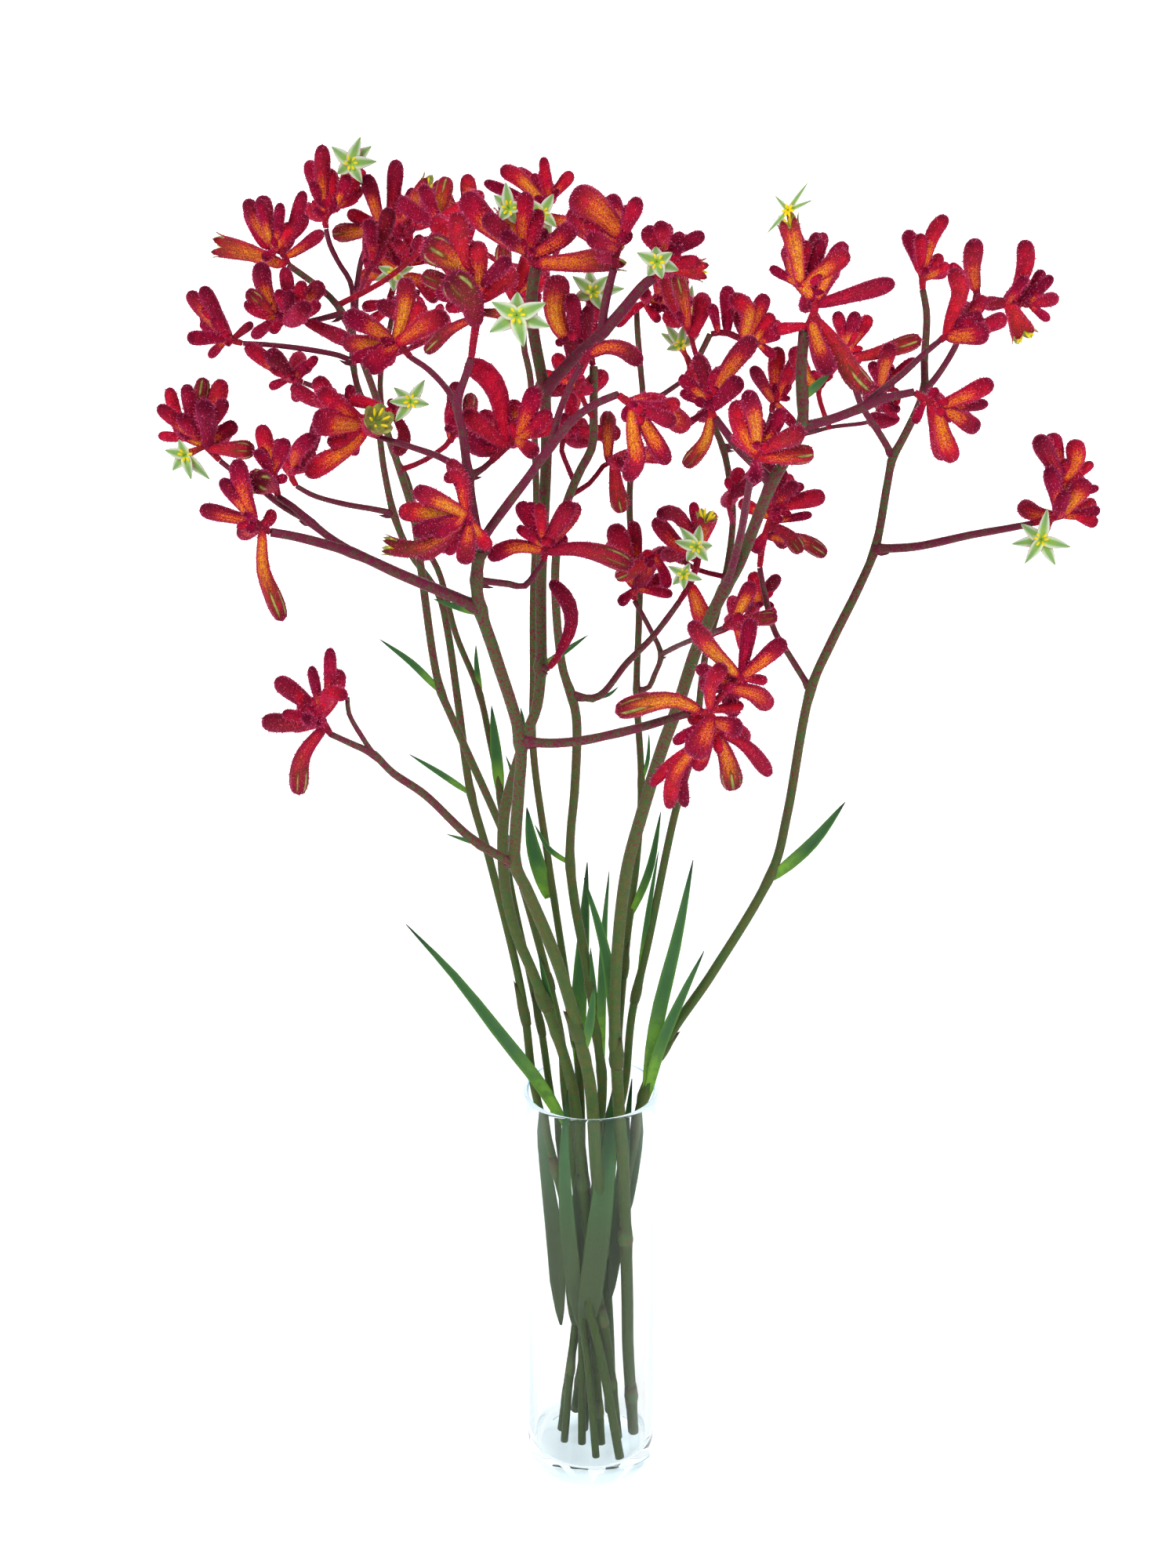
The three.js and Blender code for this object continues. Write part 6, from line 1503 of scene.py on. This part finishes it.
@once
def leaf_skin(name):
    looks = bpy.context.scene.paw_stems
    material, tree, shader = surface(name, Specular_IOR_Level=0.3, Emission_Strength=0.05)
    link = tree.links.new
    height = above_floor(tree)
    sunk = eased(tree, height, 0.23, 0.12)
    veins = ridges(tree, kept(tree, "ripe"), 90.0, 1.0, 60.0)
    patches = mottle(tree, 120.0)
    fresh = mixed(tree, eased(tree, patches, 0.0, 1.0, 0.5, 1.0), looks.leaf, looks.leaf_light)
    colour = mixed(tree, eased(tree, kept(tree, "glow"), 0.2, 1.0), looks.leaf, fresh)
    colour = mixed(tree, math_node(tree, "MULTIPLY", veins, 0.22), colour, looks.leaf_light)
    colour = mixed(tree, math_node(tree, "MULTIPLY", kept(tree, "pale"), 0.5), colour, looks.leaf_light)
    colour = mixed(tree, math_node(tree, "MULTIPLY", sunk, 0.92), colour, [0.5 * c for c in looks.olive])
    colour = mixed(tree, kept(tree, "dark"), colour, [0.35 * c for c in looks.leaf])
    glowing(tree, shader, colour)
    relief(tree, shader, veins, 0.3, 0.0003)
    link(eased(tree, patches, 0.0, 1.0, 0.34, 0.55), shader.inputs["Roughness"])
    return material


@once
def star_lobe(name):
    looks = bpy.context.scene.paw_flowers
    material, tree, shader = surface(name, Emission_Strength=0.08)
    link = tree.links.new
    patches = mottle(tree, 500.0)
    face = mixed(tree, kept(tree, "glow"), looks.throat, looks.lobe)
    face = mixed(tree, math_node(tree, "MULTIPLY", patches, 0.25), face, looks.throat)
    face = mixed(tree, kept(tree, "ripe"), face, looks.margin)
    back = mixed(tree, patches, looks.umber, looks.crimson)
    colour = mixed(tree, kept(tree, "pale"), back, face)
    colour = mixed(tree, math_node(tree, "MULTIPLY", kept(tree, "dark"), 0.5), colour, looks.umber)
    glowing(tree, shader, colour)
    relief(tree, shader, patches, 0.3, 0.0003)
    link(eased(tree, patches, 0.0, 1.0, 0.45, 0.65), shader.inputs["Roughness"])
    return material


@once
def anther_yellow(name):
    looks = bpy.context.scene.paw_flowers
    material, tree, shader = surface(name, Roughness=0.5, Emission_Strength=0.2)
    grain = mottle(tree, 2500.0)
    stalk = mixed(tree, grain, looks.lobe, looks.throat)
    pollen = mixed(tree, grain, looks.yellow, [c * k for c, k in zip(looks.yellow, (0.85, 0.7, 0.5))])
    colour = mixed(tree, kept(tree, "glow"), stalk, pollen)
    glowing(tree, shader, colour)
    relief(tree, shader, grain, 0.4, 0.0003)
    return material


@once
def clear_glass(name):
    looks = bpy.context.scene.paw_vase
    material, tree, shader = surface(name, IOR=1.24, Transmission_Weight=1.0)
    height = above_floor(tree)
    rim = eased(tree, height, looks.height - 3.5 * MM, looks.height - 1 * MM)
    thick = math_node(tree, "MAXIMUM", rim, eased(tree, height, looks.base * 1.1, looks.base * 0.5))
    tree.links.new(mixed(tree, thick, looks.tint, looks.thick_tint), shader.inputs["Base Color"])
    ripple = mottle(tree, 35.0, 0.2, 0.8)
    relief(tree, shader, ripple, 0.05, 0.0004)
    tree.links.new(eased(tree, mottle(tree, 300.0), 0.0, 1.0, 0.0, 0.02), shader.inputs["Roughness"])
    output = tree.nodes["Material Output"]
    path = add(tree, "LightPath").outputs
    deep = math_node(tree, "GREATER_THAN", path["Ray Depth"], 3.5)
    passes = math_node(tree, "MAXIMUM", path["Is Shadow Ray"], deep)
    veil = mixed(tree, path["Is Shadow Ray"], (0.72, 0.82, 0.87), (0.96, 0.98, 0.98))
    clear = add(tree, "BsdfTransparent", {"Color": veil})
    blend = add(tree, "MixShader", {0: passes, 1: shader.outputs[0], 2: clear.outputs[0]})
    tree.links.new(blend.outputs[0], output.inputs["Surface"])
    return material


@once
def studio_white(name):
    """A floor whose own faint light grows with the distance, so that it melts into the backdrop."""
    looks = bpy.context.scene.paw_studio
    material, tree, shader = surface(name, Roughness=0.9, Emission_Strength=1.0)
    spot = add(tree, "TexCoord").outputs["Object"]
    away = add(tree, "VectorMath", {0: spot}, operation="LENGTH").outputs["Value"]
    lit = mixed(tree, eased(tree, away, 1.0, 3.0), (0.4, 0.4, 0.4), (0.95, 0.95, 0.95))
    tree.links.new(lit, shader.inputs["Emission Color"])
    patches = mottle(tree, 6.0)
    colour = mixed(tree, patches, looks.floor, [0.985 * c for c in looks.floor])
    tree.links.new(colour, shader.inputs["Base Color"])
    return material


# Settings

def colour_setting(name, description, default):
    return FloatVectorProperty(name=name, description=description, default=default, size=3, min=0.0, max=1.0,
                               subtype="COLOR")


def length_setting(name, description, default):
    return FloatProperty(name=name, description=description, default=default, min=0.0,
                         unit="LENGTH", subtype="DISTANCE")


def density_setting(default):
    return FloatProperty(name="Hair density", description="Hairs on each square millimetre", default=default,
                         min=0)


class VaseSettings(bpy.types.PropertyGroup):
    height: length_setting("Height", "Height of the vase", 229 * MM)
    foot: length_setting("Foot radius", "Outer radius at the foot", 35.5 * MM)
    neck: length_setting("Neck radius", "Outer radius below the rim", 34.2 * MM)
    rim: length_setting("Rim radius", "Outer radius of the flared rim", 36 * MM)
    wall: length_setting("Wall", "Thickness of the wall", 2.6 * MM)
    base: length_setting("Base", "Thickness of the base", 10 * MM)
    steps: IntProperty(name="Steps", description="Facets round the vase", default=96, min=24, max=256)
    tint: colour_setting("Tint", "Colour of the glass", (0.962, 0.98, 0.978))
    thick_tint: colour_setting("Thick tint", "Colour of the rim and base", (0.8, 0.89, 0.93))


class StemSettings(bpy.types.PropertyGroup):
    hair_length: length_setting("Hair length", "Length of the hairs on the stems", 0.8 * MM)
    hair_width: length_setting("Hair width", "Width of a hair at its root", 0.2 * MM)
    hair_density: density_setting(0.3)
    green: colour_setting("Green", "Smooth lower stem", (0.05, 0.12, 0.03))
    olive: colour_setting("Olive", "Patches on the lower stem", (0.085, 0.12, 0.026))
    wet: colour_setting("Foot green", "The stem inside the vase", (0.03, 0.068, 0.007))
    brown: colour_setting("Brown", "Upper stem", (0.11, 0.028, 0.036))
    purple: colour_setting("Purple", "Branches and flecks", (0.2, 0.008, 0.055))
    hair: colour_setting("Hair", "Hairs on the stems", (0.6, 0.17, 0.28))
    leaf: colour_setting("Leaf", "Leaf green", (0.014, 0.085, 0.028))
    leaf_light: colour_setting("Leaf light", "Lit parts and edges of a leaf", (0.17, 0.38, 0.03))


class FlowerSettings(bpy.types.PropertyGroup):
    hair_length: length_setting("Hair length", "Length of the hairs on the flowers", 1.4 * MM)
    hair_width: length_setting("Hair width", "Width of a hair at its root", 0.34 * MM)
    hair_density: density_setting(0.36)
    crimson: colour_setting("Crimson", "Bud red", (0.52, 0.004, 0.042))
    scarlet: colour_setting("Scarlet", "Bright red", (0.96, 0.012, 0.03))
    orange: colour_setting("Orange", "Glow in the middle of a flower", (0.98, 0.24, 0.012))
    gold: colour_setting("Gold", "Brightest part of the glow", (0.98, 0.46, 0.03))
    maroon: colour_setting("Maroon", "Dark tips", (0.09, 0.001, 0.016))
    umber: colour_setting("Umber", "Older flowers", (0.15, 0.042, 0.012))
    ochre: colour_setting("Ochre", "Glow of older flowers", (0.6, 0.24, 0.014))
    pale: colour_setting("Pale green", "Slits and insides", (0.42, 0.46, 0.12))
    throat: colour_setting("Throat", "Deep green middle of an open flower", (0.24, 0.46, 0.015))
    lobe: colour_setting("Lobe", "Lobes of an open flower", (0.15, 0.31, 0.07))
    margin: colour_setting("Margin", "Edges of the lobes", (0.96, 0.97, 0.9))
    yellow: colour_setting("Yellow", "Anthers", (0.95, 0.8, 0.01))
    magenta: colour_setting("Magenta", "Hairs", (0.8, 0.02, 0.17))
    pink: colour_setting("Pink", "Tips of the hairs", (1.0, 0.42, 0.64))


class StudioSettings(bpy.types.PropertyGroup):
    floor: colour_setting("Floor", "Colour of the floor", (0.93, 0.935, 0.94))
    sky: FloatProperty(name="Dome light", description="Strength of the even light", default=0.28, min=0)
    key: FloatProperty(name="Lamps", description="Strength of the front lamp", default=31.0, min=0,
                       unit="POWER")
    size: length_setting("Floor size", "Width of the floor", 8.0)


# Operators

class PAW_OT_vase(bpy.types.Operator):
    """Turns the glass vase: straight walls, a thick base and a flared rounded rim"""
    bl_idname = "paw.vase"
    bl_label = "Glass vase"

    def execute(self, context):
        size = context.scene.paw_vase
        bend = size.height - 20 * MM
        inside = size.foot - size.wall
        outline = [(0, 0.0006), (size.foot - 0.006, 0.0006), (size.foot - 0.005, 0), (size.foot, 0),
                   (size.foot - 0.0003, 0.02), (size.neck, bend - 0.03), (size.neck + 0.0003, bend),
                   (size.rim, size.height), (size.rim - size.wall, size.height),
                   (size.neck - size.wall, bend), (inside, size.base), (0, size.base - 0.0008)]
        bm = bmesh.new()
        verts = [bm.verts.new((x, 0, z)) for x, z in outline]
        for first, second in zip(verts, verts[1:]):
            bm.edges.new((first, second))
        soft = {verts[3]: 0.0022, verts[6]: 0.006, verts[7]: 0.00125, verts[8]: 0.00125, verts[9]: 0.006,
                verts[10]: 0.006, verts[5]: 0.01}
        for vert, offset in soft.items():
            bmesh.ops.bevel(bm, geom=[vert], offset=offset, offset_type="OFFSET", segments=6, profile=0.5,
                            affect="VERTICES", material=-1)
        bmesh.ops.spin(bm, geom=bm.verts[:] + bm.edges[:], axis=(0, 0, 1), cent=(0, 0, 0), steps=size.steps,
                       angle=TURN, use_merge=True)
        bmesh.ops.remove_doubles(bm, verts=bm.verts, dist=1e-6)
        bmesh.ops.recalc_face_normals(bm, faces=bm.faces)
        for face in bm.faces:
            face.smooth = True
        piece = dressed("vase_glass", mesh_of(bm, "vase_glass"), [clear_glass()])
        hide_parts("vase")
        return {"FINISHED"}


class PAW_OT_stems(bpy.types.Operator):
    """Grows the stems with their branches, leaves and small dry scales"""
    bl_idname = "paw.stems"
    bl_label = "Stems and leaves"

    def execute(self, context):
        looks = context.scene.paw_stems
        for number, (name, stem) in enumerate(STEMS.items(), start=1):
            piece = build_stem(number, name, stem)
            add_hairs(piece, hair_stem(), looks, SEEDS["stem hairs"] + number)
        return {"FINISHED"}


class PAW_OT_heads(bpy.types.Operator):
    """Grows the heads: their short axes, velvety buds and open flowers, and their hairs"""
    bl_idname = "paw.heads"
    bl_label = "Heads of flowers"

    def execute(self, context):
        looks = context.scene.paw_flowers
        pieces = []
        for number, (name, head) in enumerate(HEADS.items(), start=1):
            pieces.append(build_head(number, name, head))
        holds = stem_points_all()
        pieces += [build_spray(number, spray, holds) for number, spray in enumerate(SPRAYS, start=1)]
        for number, piece in enumerate(pieces):
            add_hairs(piece, hair_velvet(), looks, SEEDS["flower hairs"] + number)
        return {"FINISHED"}


# Lamps: the spot where each stands and the spot that it faces, in metres, its width, and its share of the
# front lamp's strength
LAMPS = {
    "front": ((-1.1, -1.7, 1.9), (0, 0, 0.45), 1.0, 1.0),
    "side": ((1.7, -0.8, 1.3), (0, 0, 0.45), 1.2, 0.5),
    "behind": ((0.5, 1.6, 1.5), (0, 0, 0.5), 1.4, 0.5),
    "wall": ((0, 2.1, 2.5), (0, 4.6, 1.0), 1.6, 1.4),
}


class PAW_OT_studio(bpy.types.Operator):
    """Sets the pale floor with its curved back, the soft lights and the camera"""
    bl_idname = "paw.studio"
    bl_label = "Studio"

    def execute(self, context):
        look = context.scene.paw_studio
        bm = bmesh.new()
        made = bmesh.ops.create_grid(bm, x_segments=1, y_segments=1, size=look.size / 2)
        bmesh.ops.translate(bm, verts=made["verts"], vec=(0, look.size / 2 - 2.5, 0))
        back = max(bm.edges, key=lambda edge: edge.verts[0].co.y + edge.verts[1].co.y)
        risen = bmesh.ops.extrude_edge_only(bm, edges=[back])
        top = [item for item in risen["geom"] if isinstance(item, bmesh.types.BMVert)]
        bmesh.ops.translate(bm, verts=top, vec=(0, 0.6, 4.0))
        bmesh.ops.bevel(bm, geom=[back], offset=1.5, offset_type="OFFSET", segments=16, profile=0.5,
                        affect="EDGES", material=-1)
        bmesh.ops.recalc_face_normals(bm, faces=bm.faces)
        for face in bm.faces:
            face.smooth = True
        mesh = mesh_of(bm, "floor")
        mesh.materials.append(studio_white())
        floor = bpy.data.objects.new("floor", mesh)
        context.scene.collection.objects.link(floor)

        context.scene.view_settings.view_transform = "Standard"
        world = bpy.data.worlds.new("dome")
        world.use_nodes = True
        tree = world.node_tree
        even = tree.nodes["Background"]
        even.inputs["Color"].default_value = (1.0, 1.0, 1.0, 1.0)
        even.inputs["Strength"].default_value = look.sky
        seen = add(tree, "Background", {"Color": (1.0, 1.0, 1.0, 1.0), "Strength": 1.0})
        straight = add(tree, "LightPath").outputs["Is Camera Ray"]
        blend = add(tree, "MixShader", {0: straight, 1: even.outputs[0], 2: seen.outputs[0]})
        tree.links.new(blend.outputs[0], tree.nodes["World Output"].inputs["Surface"])
        context.scene.world = world

        for name, (spot, target, wide, share) in LAMPS.items():
            light = bpy.data.lights.new(name, "AREA")
            light.shape = "DISK"
            light.size = wide
            light.energy = look.key * share
            lamp = bpy.data.objects.new(name, light)
            lamp.location = spot
            aim = Vector(target) - Vector(spot)
            lamp.rotation_euler = aim.to_track_quat("-Z", "Y").to_euler()
            context.scene.collection.objects.link(lamp)

        view = bpy.data.cameras.new("camera")
        view.sensor_fit = "VERTICAL"
        view.sensor_height = 36.0
        view.lens = EYE["focal"] / EYE["picture"][1] * view.sensor_height
        view.clip_start = 0.01
        view.clip_end = 50.0
        camera = bpy.data.objects.new("camera", view)
        camera.location = (EYE["x"] * MM, EYE["y"] * MM, EYE["z"] * MM)
        camera.rotation_euler = (math.pi / 2 - EYE["tilt"], 0, 0)
        context.scene.collection.objects.link(camera)
        context.scene.camera = camera
        return {"FINISHED"}


class PAW_PT_bunch(bpy.types.Panel):
    """Lists the steps and settings of the bunch"""
    bl_idname = "PAW_PT_bunch"
    bl_label = "Kangaroo Paw"
    bl_space_type = "VIEW_3D"
    bl_region_type = "UI"
    bl_category = "Kangaroo Paw"

    def draw(self, context):
        for operator, settings in STEPS:
            box = self.layout.box()
            box.operator(operator.bl_idname)
            group_of = getattr(context.scene, settings)
            for name in group_of.__annotations__:
                box.prop(group_of, name)


STEPS = ((PAW_OT_vase, "paw_vase"), (PAW_OT_stems, "paw_stems"), (PAW_OT_heads, "paw_flowers"),
         (PAW_OT_studio, "paw_studio"))
SETTINGS = {"paw_vase": VaseSettings, "paw_stems": StemSettings, "paw_flowers": FlowerSettings,
            "paw_studio": StudioSettings}
CLASSES = (*SETTINGS.values(), *(operator for operator, _ in STEPS), PAW_PT_bunch)


def register():
    for item in CLASSES:
        bpy.utils.register_class(item)
    for name, settings in SETTINGS.items():
        setattr(bpy.types.Scene, name, PointerProperty(type=settings))


def unregister():
    for name in SETTINGS:
        delattr(bpy.types.Scene, name)
    for item in reversed(CLASSES):
        bpy.utils.unregister_class(item)


def main():
    register()
    bpy.ops.paw.vase()
    bpy.ops.paw.stems()
    bpy.ops.paw.heads()
    bpy.ops.paw.studio()
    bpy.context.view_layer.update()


if __name__ == "__main__":
    main()
